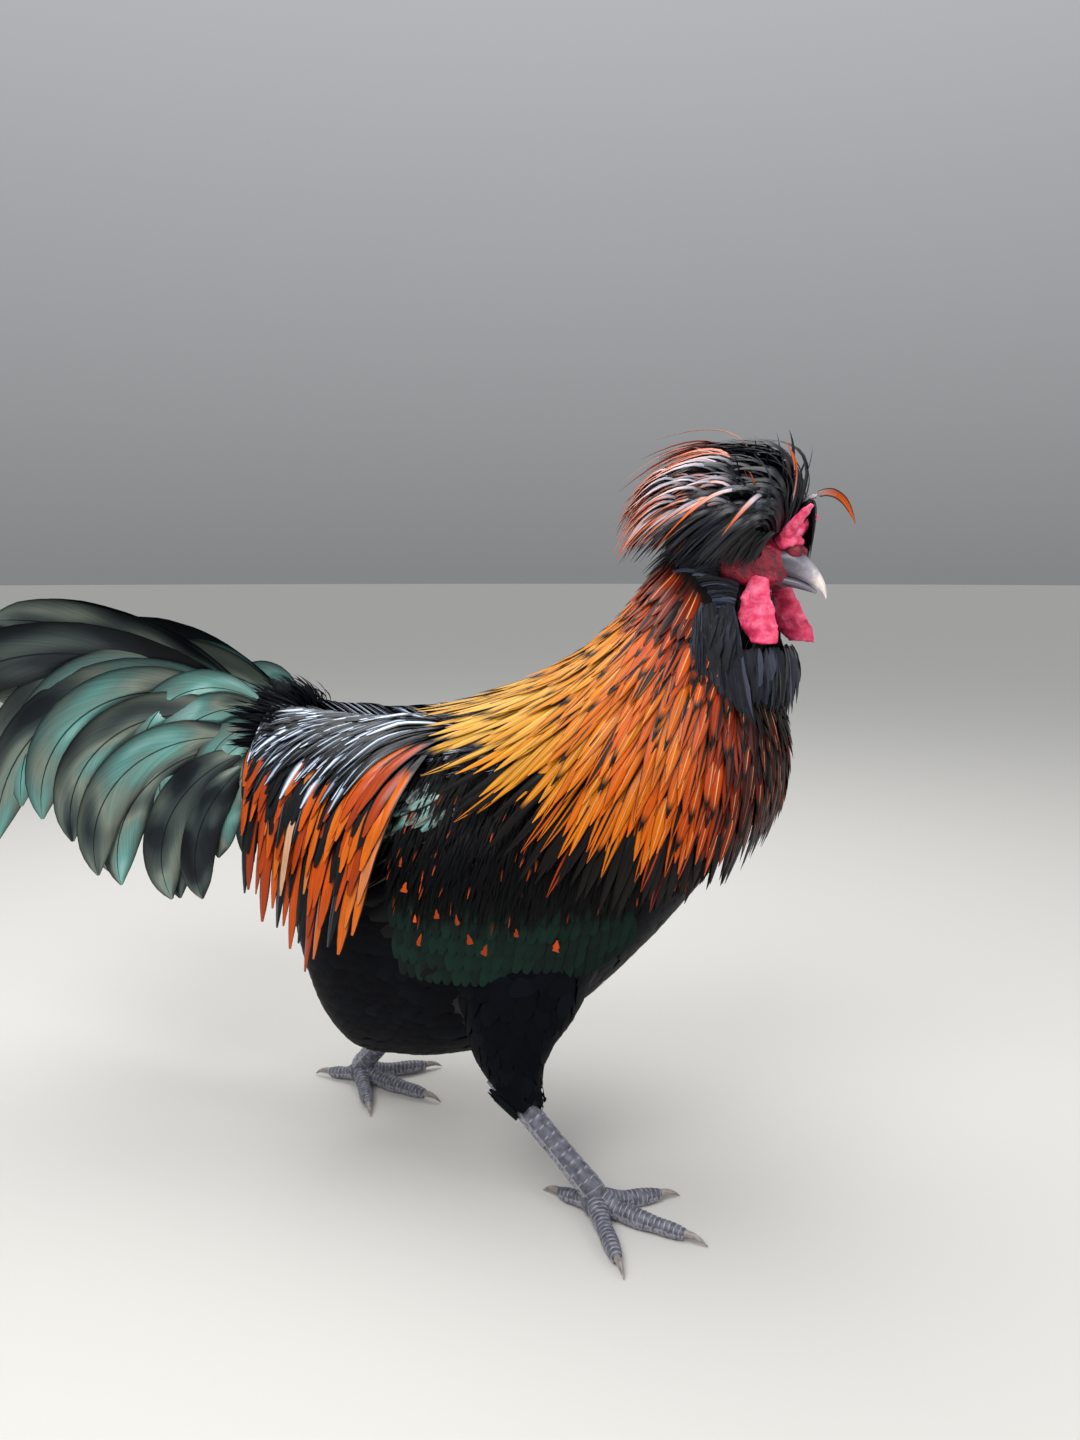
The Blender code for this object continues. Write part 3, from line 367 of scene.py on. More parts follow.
skull_rings = []
for t in np.linspace(0, len(SKULL) - 1, 30):
    x, z, wide, tall = along(SKULL, t)
    ring = oval((x, 0, z), (0, 1, 0), (0, 0, 1), wide - SKULL_DEPTH, tall - SKULL_DEPTH, 36)
    skull_rings.append([HEAD @ Vector(p) for p in ring])
head_pieces = [loft("skull", skull_rings)]
for side in (-1, 1):
    head_pieces += [
        ball("cheek", (-0.003, side * 0.0106, -0.0080), (0.0128, 0.0064, 0.0086)),
        ball("gape", (0.0150, side * 0.0078, -0.0075), (0.0085, 0.0030, 0.0040)),
        ball("brow", (0.0070, side * 0.0105, 0.0085), (0.0090, 0.0046, 0.0028)),
        ball("nostril", (0.0262, side * 0.0040, 0.0088), (0.0052, 0.0032, 0.0042)),
    ]
head = one_skin("head", head_pieces, HEAD_NET, 5)

# Folds and lids are pressed into the skin: the cheek's creases run back from the gape, and each eye
# lies in an almond opening between two thick rims.
net = head.data
net_points = np.empty(len(net.vertices) * 3, np.float32)
net.vertices.foreach_get("co", net_points)
net_points = net_points.reshape(-1, 3)
net_normals = np.empty(len(net.vertices) * 3, np.float32)
net.vertices.foreach_get("normal", net_normals)
net_normals = net_normals.reshape(-1, 3)
to_head = HEAD.inverted()
for i in range(len(net_points)):
    p = to_head @ Vector(net_points[i])
    fold = noise.noise(Vector((p.x * 90 - p.z * 31, p.y * 120, p.z * 520 + p.x * 182)))
    grain = noise.noise(Vector((p.x * 900, p.y * 900, p.z * 900)))
    push = FOLD_DEPTH * (abs(fold) - 0.25) + GRAIN_DEPTH * grain
    along_lid = (p.x - EYE_AT.x) / LID_HALF_LONG
    over_lid = (p.z - EYE_AT.z) / LID_HALF_TALL
    ring = math.hypot(along_lid, over_lid)
    if abs(p.y) > 0.006 and ring < 1.75:
        rim = math.exp(-((ring - 1.16) / 0.20) ** 2)
        hollow = max(0.0, 1 - (ring / 1.05) ** 4)
        push = push * min(1.0, ring / 1.75) + LID_RIM * rim - SOCKET_DEPTH * hollow
    net_points[i] += net_normals[i] * push
net.vertices.foreach_set("co", net_points.ravel())
net.update()

# The legs: bare shanks and toes covered with horny plates. Broad scutes run down the front in two
# staggered rows, small many-sided scales cover the sides, and bands cross the top of each toe.

SHANK_SIDE = 0.0062
SHANK_DEEP = 0.0074
ANKLE_UP = 0.0135
TOE_RADIUS = 0.0052
SCUTE = 0.0066  # from one scute of the shank to the next
TOE_BAND = 0.0031
PLATE_RISE = 0.00040
PLATE_TILT = 0.00024
SIDE_PLATE_RISE = 0.00028
PLATE_ROOM = 0.0003  # a limb's flesh lies this far under its plates
SIDE_PLATES = 470  # to the metre, about 2 mm each
PALM_RADIUS = 0.0086
SOLE_FLAT = 0.0002
# Each toe: turn from the bird's heading on its right foot, length, claw's length
TOES = {
    "outer": (-60, 0.050, 0.013),
    "middle": (-10, 0.057, 0.014),
    "inner": (36, 0.043, 0.013),
    "hind": (160, 0.026, 0.012),
}
FOOT_TURN = {"right": 0, "left": -20}


def step_up(x, low, high):
    """0 below low, 1 above high, and an even rise between them."""
    x = np.clip((x - low) / (high - low), 0, 1)
    return x * x * (3 - 2 * x)


def mark_points(obj, name, values):
    """Gives each point of a mesh its own number, which a material reads by this name."""
    values = np.array(values, np.float32)
    obj.data.attributes.new(name, "FLOAT", "POINT").data.foreach_set("value", values)


def scaled_limb(name, line, half_sides, half_ups, up, around, spacing, two_rows):
    """A limb whose horny plates stand on its surface. Its attribute seam is 1 between plates."""
    line = np.asarray(line, float)
    run = np.concatenate([[0], np.cumsum(np.linalg.norm(np.diff(line, axis=0), axis=1))])
    turns = np.arange(around) * 2 * math.pi / around
    turns[turns > math.pi] -= 2 * math.pi
    rings, seams = [], []
    for i, point in enumerate(line):
        ahead = Vector(line[min(i + 1, len(line) - 1)] - line[max(i - 1, 0)]).normalized()
        side = ahead.cross(Vector(up)).normalized()
        top = side.cross(ahead)
        radius = 0.5 * (half_sides[i] + half_ups[i])
        ring = []
        for turn in turns:
            reach = abs(turn) * radius
            column = 0.5 if two_rows and turn > 0 else 0.0
            place = run[i] / spacing + column + 0.16 * abs(turn)
            part = place - math.floor(place)
            front = 1.95 * radius if two_rows else 1.45 * radius
            if reach < front:
                near = min(part, 1 - part) * spacing
                near = min(near, front - reach)
                if two_rows:
                    near = min(near, reach + 0.0001)
                height = PLATE_RISE * step_up(near, 0.0001, 0.0008) + PLATE_TILT * part
            else:
                cell = Vector((run[i], math.sin(turn) * radius, math.cos(turn) * radius))
                far = noise.voronoi(cell * SIDE_PLATES)[0]
                near = 0.0011 * (far[1] - far[0])
                height = SIDE_PLATE_RISE * step_up(near, 0.0, 0.0007)
            ring.append(point + np.array(side * (math.sin(turn) * (half_sides[i] + height))
                                         + top * (math.cos(turn) * (half_ups[i] + height))))
            seams.append(1 - float(step_up(near, 0.00006, 0.00036)))
        rings.append(ring)
    obj = loft(name, rings)
    mark_points(obj, "seam", seams + [0, 0])
    return obj


def curve(points, count):
    """Points spread along the smooth curve with these control points."""
    layers = []
    for t in np.linspace(0, 1, count):
        left = [Vector(p) for p in points]
        while len(left) > 1:
            left = [a.lerp(b, t) for a, b in zip(left, left[1:])]
        layers.append(left[0])
    return layers


def read(values, count):
    """A short row of values read at more places."""
    return np.interp(np.linspace(0, 1, count), np.linspace(0, 1, len(values)), values)


def toe_line(name, toe):
    """The points of a toe along the floor and the way it points."""
    turn, length, _ = TOES[toe]
    mirror = 1 if name == "right" else -1
    heading = math.radians(mirror * turn + FOOT_TURN[name])
    ahead = Vector((math.cos(heading), math.sin(heading), 0))
    heights = (ANKLE_UP * 0.80, TOE_RADIUS * 1.18, TOE_RADIUS * 0.90, TOE_RADIUS * 0.80)
    places = zip((0.0, 0.30, 0.66, 1.0), heights)
    return ahead, [FOOT[name] + ahead * length * t + Vector((0, 0, h)) for t, h in places]


leg_pieces = []
for name in SIDES:
    hock, ankle = HOCK[name], FOOT[name] + Vector((0, 0, ANKLE_UP))
    run = (ankle - hock).normalized()
    corners = [hock, hock + run * 0.022, hock.lerp(ankle, 0.6), ankle - run * 0.004, ankle + run * 0.003]
    line = [along(corners, t) for t in np.linspace(0, 4, 170)]
    wides = SHANK_SIDE * read((1.15, 1.0, 0.92, 1.12, 0.95), 170) - PLATE_ROOM
    deeps = SHANK_DEEP * read((1.15, 1.0, 0.95, 1.05, 0.85), 170) - PLATE_ROOM
    leg_pieces.append(scaled_limb("shank", line, wides, deeps, (1, 0, 0), 52, SCUTE, True))
    bpy.ops.object.select_all(action="DESELECT")
    bpy.ops.mesh.primitive_uv_sphere_add(segments=28, ring_count=16, radius=PALM_RADIUS)
    palm = bpy.context.object
    palm.data.transform(Matrix.Translation(FOOT[name] + Vector((0.001, 0, 0.0080))))
    palm.data.shade_smooth()
    leg_pieces.append(palm)
    for toe, (_, length, _) in TOES.items():
        ahead, corners = toe_line(name, toe)
        count = int(length / 0.00052)
        line = [along(corners, t) for t in np.linspace(0, 3, count)]
        scale = 0.86 if toe == "hind" else 1.0
        joints = 3.4 if length > 0.05 else 2.4
        knuckles = 1 + 0.07 * np.cos(np.linspace(0.5, joints, count) * 2 * math.pi)
        wides = TOE_RADIUS * scale * read((1.25, 1.0, 0.94, 0.62), count) * knuckles - PLATE_ROOM
        talls = TOE_RADIUS * scale * read((1.35, 1.12, 1.02, 0.66), count) * knuckles - PLATE_ROOM
        leg_pieces.append(scaled_limb("toe", line, wides, talls, (0, 0, 1), 30, TOE_BAND, False))
legs = joined(leg_pieces, "legs")
for vert in legs.data.vertices:
    vert.co.z = max(vert.co.z, SOLE_FLAT)

# Feathered skin: thin, dark and dull, seen only as the shade between feathers
feathered_skin, shader = new_material("feathered skin")
place = add_node(feathered_skin, "TexCoord").outputs["Object"]
down = add_node(feathered_skin, "TexNoise", {"Vector": place, "Scale": 240.0})
shade = add_node(feathered_skin, "ValToRGB", {"Fac": down}, ((0.3, "#060608"), (0.7, "#101014")))
fill(shader, {"Base Color": shade, "Roughness": 0.85})


def bare_flesh(name, reds, blood_scale, pimple_scale, relief_share, roughness, light, light_depths):
    """Bare skin full of blood: soft, slightly wet, finely pimpled, and it lets some light in."""
    made, shader = new_material(name)
    place = add_node(made, "TexCoord").outputs["Object"]
    blood = add_node(made, "TexNoise", {"Vector": place, "Scale": blood_scale, "Detail": 4.0})
    shade = add_node(made, "ValToRGB", {"Fac": blood}, reds)
    pimples = add_node(made, "TexVoronoi", {"Vector": place, "Scale": pimple_scale})
    relief = add_node(made, "Bump", {"Height": pimples, "Strength": relief_share, "Distance": 0.0004})
    fill(shader, {"Base Color": shade, "Normal": relief, "Roughness": roughness})
    fill(shader, {"Subsurface Weight": light, "Subsurface Radius": light_depths})
    return made


# Bare face skin: thin and blood-red, in 6 mm clouds under pimples of nearly 1 mm
face_skin = bare_flesh(
    "bare face skin", ((0.30, "#4A0A1C"), (0.55, "#8A1830"), (0.75, "#B02A42")),
    170.0, 1100.0, 0.6, 0.46, 0.15, (0.003, 0.001, 0.0006),
)

# Leg scale: dry slate-blue keratin plates with pale worn edges and seams
leg_scale, shader = new_material("slate leg scale")
place = add_node(leg_scale, "TexCoord").outputs["Object"]
seam = add_node(leg_scale, "Attribute", attribute_name="seam").outputs["Fac"]
cloud = add_node(leg_scale, "TexNoise", {"Vector": place, "Scale": 260.0, "Detail": 5.0})
plate = add_node(
    leg_scale, "ValToRGB", {"Fac": cloud}, ((0.28, "#3A3A44"), (0.52, "#575763"), (0.78, "#757582"))
)
edge = add_node(leg_scale, "MixRGB", {"Fac": seam, "Color1": plate, "Color2": "#9C9AA4"})
grit = add_node(leg_scale, "Bump", {"Height": cloud, "Strength": 0.25, "Distance": 0.0004})
fill(shader, {"Base Color": edge, "Normal": grit, "Roughness": 0.42})

for part, finish in ((body, feathered_skin), (head, face_skin), (legs, leg_scale)):
    part.data.materials.clear()
    part.data.materials.append(finish)
skin_tree = BVHTree.FromObject(body, bpy.context.evaluated_depsgraph_get())
skin = joined((body, head, legs), "skin")
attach(skin, "root")
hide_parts("torso", "thigh_right", "thigh_left", "head")
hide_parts("shank_right", "shank_left", "foot_right", "foot_left")

# The claws: short blunt horn cones that curve down to the ground, paler where they wear.

CLAW_RADIUS = 0.0026
CLAW_TIP_UP = 0.0010

# Claw horn: smooth solid keratin, grey-brown and a little paler in patches
claw_horn, shader = new_material("claw horn")
place = add_node(claw_horn, "TexCoord").outputs["Object"]
layers = add_node(claw_horn, "TexNoise", {"Vector": place, "Scale": 320.0})
shade = add_node(claw_horn, "ValToRGB", {"Fac": layers}, ((0.3, "#6A6160"), (0.7, "#A39A94")))
fill(shader, {"Base Color": shade, "Roughness": 0.34, "IOR": 1.54})


def dress(piece, material, slot_name, *nodes):
    """Gives a finished piece its material, hangs it under the root and hides the frame's nodes that it
    stands for. Its slot name is not used.
    """
    piece.data.materials.append(material)
    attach(piece, "root")
    for node in nodes:
        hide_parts(node)


for name in SIDES:
    for toe, (_, _, claw) in TOES.items():
        ahead, corners = toe_line(name, toe)
        start = corners[-1] - ahead * 0.003
        bend = start + ahead * claw * 0.7 + Vector((0, 0, 0.0025))
        end = start + ahead * (claw + 0.003)
        end.z = CLAW_TIP_UP
        radii = CLAW_RADIUS * read((1.0, 0.92, 0.74, 0.46, 0.10), 18)
        line = curve((start, bend, end), 18)
        horn = tube(f"claw_horn_{name}_{toe}", line, radii * 0.86, radii, (0, 0, 1), 14)
        dress(horn, claw_horn, "claw_horn", f"claw_{name}_{toe}")

# The eyes: wet globes with a dark pupil in an orange-brown iris, set deep between the lids.

# Eyeball: a clear wet cornea over a fibrous iris, so it shines sharply
wet_eye, shader = new_material("wet eyeball")
gaze = add_node(wet_eye, "Attribute", attribute_name="from_pupil").outputs["Fac"]
iris = add_node(
    wet_eye, "ValToRGB", {"Fac": gaze},
    ((0.20, "#030203"), (0.24, "#7A3A12"), (0.40, "#A85A1C"), (0.48, "#3A1A0C"), (0.56, "#1A0E0A")),
)
fill(shader, {"Base Color": iris, "Roughness": 0.05, "IOR": 1.38, "Coat Weight": 1.0})


for name, side in SIDES.items():
    centre = Vector((EYE_AT.x, side * (EYE_AT.y - 0.0003), EYE_AT.z))
    eye = ball("eyeball_" + name, centre, (EYE_RADIUS,) * 3, 40)
    look = (HEAD.to_3x3() @ Vector((0.25, side, 0.02))).normalized()
    middle = HEAD @ centre
    angles = [look.angle(v.co - middle) / math.pi * 2 for v in eye.data.vertices]
    mark_points(eye, "from_pupil", angles)
    dress(eye, wet_eye, "eye", "eye_" + name)

# The bill: two horn sheaths over the jaws, slate at the base and pale at the hooked tip. The lower
# one closes inside the upper, whose cutting edge, a thin pale line on the bird, is not drawn.

# The upper bill: forward, top, bottom, half width
BILL_TOP = (
    (0.014, 0.0095, -0.0060, 0.0080),
    (0.024, 0.0100, -0.0060, 0.0074),
    (0.033, 0.0070, -0.0065, 0.0058),
    (0.041, 0.0015, -0.0080, 0.0040),
    (0.047, -0.0050, -0.0105, 0.0024),
    (0.0500, -0.0120, -0.0135, 0.0008),
)
# The lower bill, read alike
BILL_LOW = (
    (0.012, -0.0055, -0.0122, 0.0066),
    (0.022, -0.0055, -0.0120, 0.0058),
    (0.032, -0.0060, -0.0115, 0.0044),
    (0.040, -0.0082, -0.0116, 0.0026),
    (0.0435, -0.0100, -0.0118, 0.0008),
)


def bill_half(name, rows, ridge, pale):
    """A horn sheath whose section is a pointed arch. Its attribute to_tip rises to pale at its tip."""
    rings, places = [], []
    for t in np.linspace(0, len(rows) - 1, 44):
        x, top, bottom, half = along(rows, t)
        ring = []
        for k in range(40):
            turn = 2 * math.pi * k / 40
            wide = half * math.copysign(abs(math.sin(turn)) ** ridge, math.sin(turn))
            ring.append(HEAD @ Vector((x, wide, (top + bottom) / 2 + (top - bottom) / 2 * math.cos(turn))))
            places.append(pale * (x - rows[0][0]) / (rows[-1][0] - rows[0][0]))
        rings.append(ring)
    obj = loft(name, rings)
    mark_points(obj, "to_tip", places + [0.0, pale])
    return obj


# Bill horn: layered keratin, satin, with faint lengthwise growth streaks
bill_horn, shader = new_material("bill horn")
reach = add_node(bill_horn, "Attribute", attribute_name="to_tip").outputs["Fac"]
place = add_node(bill_horn, "TexCoord").outputs["Object"]
streak = add_node(bill_horn, "TexNoise", {"Vector": place, "Scale": 330.0, "Detail": 3.0})
shifted = add_node(bill_horn, "Math", {0: streak, 1: 0.22, 2: reach}, operation="MULTIPLY_ADD")
shade = add_node(
    bill_horn, "ValToRGB", {"Fac": shifted},
    ((0.20, "#3C3642"), (0.58, "#67636F"), (0.82, "#A29DA6"), (0.95, "#E9DDD6")),
)
relief = add_node(bill_horn, "Bump", {"Height": streak, "Strength": 0.2, "Distance": 0.0004})
fill(shader, {"Base Color": shade, "Normal": relief, "Roughness": 0.30, "IOR": 1.54})

for name, rows, pale, node in (
    ("bill_top", BILL_TOP, 1.0, "beak_upper"), ("bill_low", BILL_LOW, 0.6, "beak_lower"),
):
    bill = bill_half(name, rows, 0.80, pale)
    dress(bill, bill_horn, "beak_horn", node)

# The comb and wattles: fleshy horns that part in a V over the nostrils, and two crumpled lappets
# under the gape. Both are swollen with blood and covered with fine pimples.

# Comb flesh: thick soft skin, bright pink-red in 5 mm clouds under 1 mm pimples, with a waxy shine
# and light deep inside it
comb_flesh = bare_flesh(
    "comb flesh", ((0.28, "#CC2450"), (0.50, "#F04A76"), (0.74, "#FF86A6")),
    210.0, 950.0, 0.5, 0.42, 0.25, (0.004, 0.0012, 0.0008),
)


def crumple(obj, size, depth, seed):
    """Moves a piece's points in and out along its normals, by soft lumps of this size."""
    for vert in obj.data.vertices:
        lump = noise.noise(vert.co / size + Vector((seed, 0, 0)))
        vert.co += vert.normal * depth * lump
    obj.data.update()


HORN_HIGH = {-1: 0.0360, 1: 0.0300}  # the near horn stands higher than the far one
HORN_RADIUS = 0.0041
COMB_NET = 0.00045

horn_pieces = [ball("comb", (0.0190, 0, 0.0125), (0.0064, 0.0074, 0.0052))]
for side in (-1, 1):
    high = HORN_HIGH[side]
    corners = (
        (0.0185, side * 0.002, 0.0130), (0.0210, side * 0.009, 0.0190), (high - 0.002, side * 0.0155, high),
    )
    line = [HEAD @ p for p in curve(corners, 22)]
    radii = HORN_RADIUS * read((1.0, 1.05, 1.0, 0.90, 0.74, 0.40), 22)
    horn_pieces += [
        tube("horn", line, radii, radii * 0.85, (0, 0, 1), 24),
        ball("bead", (0.0240, side * 0.0045, 0.0138), (0.0038, 0.0034, 0.0034)),
        ball("bead", (0.0205, side * 0.0068, 0.0128), (0.0036, 0.0030, 0.0036)),
    ]
comb = one_skin("fleshy_comb", horn_pieces, COMB_NET, 3)
crumple(comb, 0.0042, 0.0007, 3.0)
crumple(comb, 0.0014, 0.0002, 5.0)
comb.data.materials.clear()
dress(comb, comb_flesh, "comb_skin", "comb")

# Each lappet down from its root: drop, half length fore and aft, half thickness, shift forward
LAPPET = (
    (-0.004, 0.0050, 0.0022, 0.000),
    (0.004, 0.0070, 0.0026, 0.000),
    (0.011, 0.0095, 0.0028, -0.001),
    (0.019, 0.0110, 0.0026, -0.001),
    (0.027, 0.0108, 0.0022, 0.001),
    (0.034, 0.0074, 0.0016, 0.003),
)
for name, side in SIDES.items():
    top = HEAD @ Vector((0.0150 + 0.0030 * side, side * 0.0105, -0.0120))
    fore = HEAD_TURN.to_3x3() @ Vector((1, 0, 0))
    fore = Vector((fore.x, fore.y, 0)).normalized()
    rings = []
    for t in np.linspace(0, len(LAPPET) - 1, 46):
        drop, half, thick, shift = along(LAPPET, t)
        wave = 0.0009 * math.sin(t * 3.3 + side)
        lean = Vector((0.006 + 0.003 * side, side * 0.013, 0)) * (drop / 0.033)
        centre = top + Vector((0, 0, -drop)) + fore * shift + lean + Vector((0, 0, 1)).cross(fore) * wave
        rings.append(oval(centre, fore, fore.cross(Vector((0, 0, 1))), half, thick, 44))
    lappet = loft("lappet_" + name, rings)
    crumple(lappet, 0.0070, 0.0016, 7.0 + side)
    for vert in lappet.data.vertices:
        crease = noise.noise(Vector((vert.co.x * 160, vert.co.y * 160, vert.co.z * 620)))
        vert.co += vert.normal * 0.0007 * crease
    dress(lappet, comb_flesh, "comb_skin", "wattle_" + name)

# Every feather is a thin cupped vane on a quill: it roots in the skin, lies back along the body and
# lifts over the next one. A coat is many of them in one mesh, with these attributes on each:
# tone is its own draw, zone its colour's place in its tract, streak the strength of its mark.

# Outlines: a vane's half width from its root to its tip, as a share of its widest
ROUND = (0.30, 0.72, 0.94, 1.00, 0.96, 0.80, 0.30)
LANCE = (0.25, 0.66, 0.90, 1.00, 0.99, 0.86, 0.54, 0.05)
HACKLE = (0.25, 0.62, 0.86, 0.97, 1.00, 1.00, 0.95, 0.74, 0.08)
SPOON = (0.20, 0.50, 0.78, 0.92, 1.00, 1.00, 0.98, 0.86, 0.24)
HAIR = (0.80, 1.00, 1.00, 0.80, 0.10)


class Feathers:
    """Feathers of one coat, gathered one by one and then made into one mesh."""

    def __init__(self, rows, columns, outline, cup, ragged):
        self.rows, self.columns, self.cup, self.ragged = rows, columns, cup, ragged
        self.outline = read(outline, rows)
        self.spines, self.facings, self.halves, self.marks, self.places = [], [], [], [], []

    def add(self, laid, half, tone, zone=0.0, streak=0.0, tilt=0.0, place=None):
        """Adds a feather laid as a spine and its facings, with its root's place for OFBake."""
        spine, facing = laid
        self.spines.append([tuple(p) for p in spine])
        self.facings.append([tuple(p) for p in facing])
        self.halves.append(half)
        self.marks.append((tone, zone, streak, tilt))
        self.places.append(place or round_body(spine[0]))

    def mesh(self, name, seed):
        """The coat's mesh. UV map Vane runs across and along each vane; OFBake keeps each one's patch."""
        draw = np.random.default_rng(seed)
        spine, facing = np.array(self.spines), np.array(self.facings)
        marks, place = np.array(self.marks), np.array(self.places)
        count, rows, columns = len(spine), self.rows, self.columns
        ahead = np.gradient(spine, axis=1)
        ahead /= np.linalg.norm(ahead, axis=2, keepdims=True) + 1e-12
        side = np.cross(ahead, facing)
        side /= np.linalg.norm(side, axis=2, keepdims=True) + 1e-12
        up = np.cross(side, ahead)
        tilt = np.radians(marks[:, 3])[:, None, None]
        side, up = side * np.cos(tilt) + up * np.sin(tilt), up * np.cos(tilt) - side * np.sin(tilt)
        across = np.linspace(-1, 1, columns)
        half = np.array(self.halves)[:, None] * self.outline[None, :]
        half = half[:, :, None] * (1 + self.ragged * draw.uniform(-1, 1, (count, rows, columns)))
        wide = (half * across)[..., None]
        drop = (half * np.abs(across) ** 1.6 * self.cup)[..., None]
        points = spine[:, :, None] + side[:, :, None] * wide - up[:, :, None] * drop
        first = (np.arange(count) * rows * columns)[:, None, None]
        corner = np.arange(rows - 1)[:, None] * columns + np.arange(columns - 1)[None, :]
        quads = np.stack([corner, corner + 1, corner + columns + 1, corner + columns], axis=-1)
        faces = (first[..., None] + quads[None]).reshape(-1, 4)
        obj = new_object(name, points.reshape(-1, 3), faces.tolist())
        grid = np.stack(np.meshgrid(across / 2 + 0.5, np.linspace(0, 1, rows)), axis=-1)
        vane_uv = np.broadcast_to(grid, (count, rows, columns, 2)).reshape(-1, 2)
        patch = (place[:, None, None] + 0.003 * (grid[None] - 0.5)).reshape(-1, 2)
        corners = faces.ravel()
        for map_name, uv in (("Vane", vane_uv), ("OFBake", patch)):
            layer = obj.data.uv_layers.new(name=map_name)
            layer.data.foreach_set("uv", uv[corners].astype(np.float32).ravel())
        for k, mark in enumerate(("tone", "zone", "streak")):
            mark_points(obj, mark, np.repeat(marks[:, k], rows * columns))
        return obj


def round_body(p):
    """A root's place on an unwrap of the body: along it, and round its long middle line."""
    turn = math.atan2(p.y - MID, p.z - 0.19) / (2 * math.pi)
    return (0.05 + 0.9 * (p.x + 0.30) / 0.44, 0.5 + 0.9 * turn)


def lay(start, lie, length, rows, lifts):
    """A spine and its facings, laid on the skin from a root, in the lie that a function gives."""
    spine, facing = [], []
    here = Vector(start)
    for lift in read(lifts, rows):
        spot, normal, _, _ = skin_tree.find_nearest(here)
        spine.append(spot + normal * lift)
        facing.append(normal)
        way = lie(spot)
        way = (way - normal * way.dot(normal)).normalized()
        here = spot + way * length / (rows - 1)
    return spine, facing


def vane_finish(name, barbs, relief_depth, roughness, shine):
    """A feather material to colour. Its barbs are fine lines that slant from the quill to the tip.

    Their pattern's steps are given from edge to edge, along the vane, and by how much they slant.
    Real barbs stand about 0.3 mm apart, and these are drawn several times coarser so that they show.
    """
    made, shader = new_material(name)
    vane = add_node(made, "SeparateXYZ", {"Vector": add_node(made, "UVMap", uv_map="Vane")})
    signed = add_node(made, "Math", {0: vane, 1: 2.0, 2: -1.0}, operation="MULTIPLY_ADD")
    across = add_node(made, "Math", {0: signed}, operation="ABSOLUTE")
    tone, zone, streak = (
        add_node(made, "Attribute", attribute_name=mark).outputs["Fac"] for mark in ("tone", "zone", "streak")
    )
    wide = add_node(made, "Math", {0: signed, 1: barbs[0]}, operation="MULTIPLY")
    long = add_node(made, "Math", {0: vane.outputs["Y"], 1: barbs[1]}, operation="MULTIPLY")
    slant = add_node(made, "Math", {0: across, 1: -barbs[2], 2: long}, operation="MULTIPLY_ADD")
    own = add_node(made, "Math", {0: tone, 1: 37.0}, operation="MULTIPLY")
    spot = add_node(made, "CombineXYZ", {"X": wide, "Y": slant, "Z": own})
    barb = add_node(made, "TexNoise", {"Vector": spot, "Scale": 1.0, "Detail": 2.0})
    relief = add_node(made, "Bump", {"Height": barb, "Strength": relief_depth, "Distance": 0.0006})
    fill(shader, {"Normal": relief, "Roughness": roughness, "Specular IOR Level": shine})
    return SimpleNamespace(
        material=made, shader=shader, signed=signed, across=across, along=vane.outputs["Y"],
        tone=tone, zone=zone, streak=streak, barb=barb,
    )


def barbed(web, colour, dark):
    """A web's colour with its barbs drawn over it, this dark between them."""
    lines = add_node(web.material, "MixRGB", {"Fac": web.barb, "Color1": dark, "Color2": "#FFFFFF"})
    sockets = {"Fac": 1.0, "Color1": colour, "Color2": lines}
    return add_node(web.material, "MixRGB", sockets, blend_type="MULTIPLY")


def scatter(spacing, keep, seed):
    """Points spread over the body's skin, no two nearer than the spacing, where keep allows them."""
    draw = random.Random(seed)
    kept, cells = [], {}
    polygons = [p for p in skin.data.polygons if p.material_index == 0]
    draw.shuffle(polygons)
    for polygon in polygons:
        p = polygon.center
        if not keep(p):
            continue
        cell = tuple(int(math.floor(c / spacing)) for c in p)
        near = [cells.get((cell[0] + i, cell[1] + j, cell[2] + k), ())
                for i in (-1, 0, 1) for j in (-1, 0, 1) for k in (-1, 0, 1)]
        if any((p - q).length < spacing for group in near for q in group):
            continue
        cells.setdefault(cell, []).append(p)
        kept.append(p.copy())
    return kept


# The close coat of breast, belly, flanks and thighs: rounded body feathers that overlap like tiles
# and lie flat, velvet black with a faint blue gloss, down to a tight cuff above each shank.

BODY_SPACING = 0.0062
CLOSE_COAT_TOP = 0.262
CUFF_FEATHERS = 90


def on_leg(p):
    """How far a point belongs to a drumstick (0 to 1), and that leg's way down."""
    for name, side in SIDES.items():
        rows = np.array(THIGH[name])[::-1]
        ahead, out, wide, deep = (np.interp(p.z, rows[:, 2], rows[:, k]) for k in (0, 1, 3, 4))
        beside = abs(p.y - MID - side * out) / (wide + 0.010)
        fore = abs(p.x - HOCK[name].x - ahead) / (deep + 0.006)
        if beside < 1 and fore < 1:
            way = Vector((0.10 * math.copysign(1, FOOT[name].x - HOCK[name].x), 0, -1))
            return float((1 - step_up(fore, 0.75, 1.0)) * (1 - step_up(p.z, 0.105, 0.150))), way
    return 0.0, Vector((0, 0, -1))


def body_lie(p):
    """Which way the coat lies: back along the trunk, down the breast and down each drumstick."""
    down_breast = float(step_up(p.x, -0.02, 0.07))
    way = Vector((-1, 0, -0.20)).lerp(Vector((-0.55, 0, -1)), down_breast)
    share, leg_way = on_leg(p)
    return way.lerp(leg_way, share)


# Black body feather: dark melanin keratin with a velvet surface and only a soft blue shine
black_web = vane_finish("black body feather", (1.2, 24.0, 9.0), 0.12, 0.50, 0.05)
shade = add_node(
    black_web.material, "ValToRGB", {"Fac": black_web.tone},
    ((0.0, "#04050A"), (0.7, "#06080E"), (1.0, "#0A0D15")),
)
fill(black_web.shader, {"Base Color": shade})

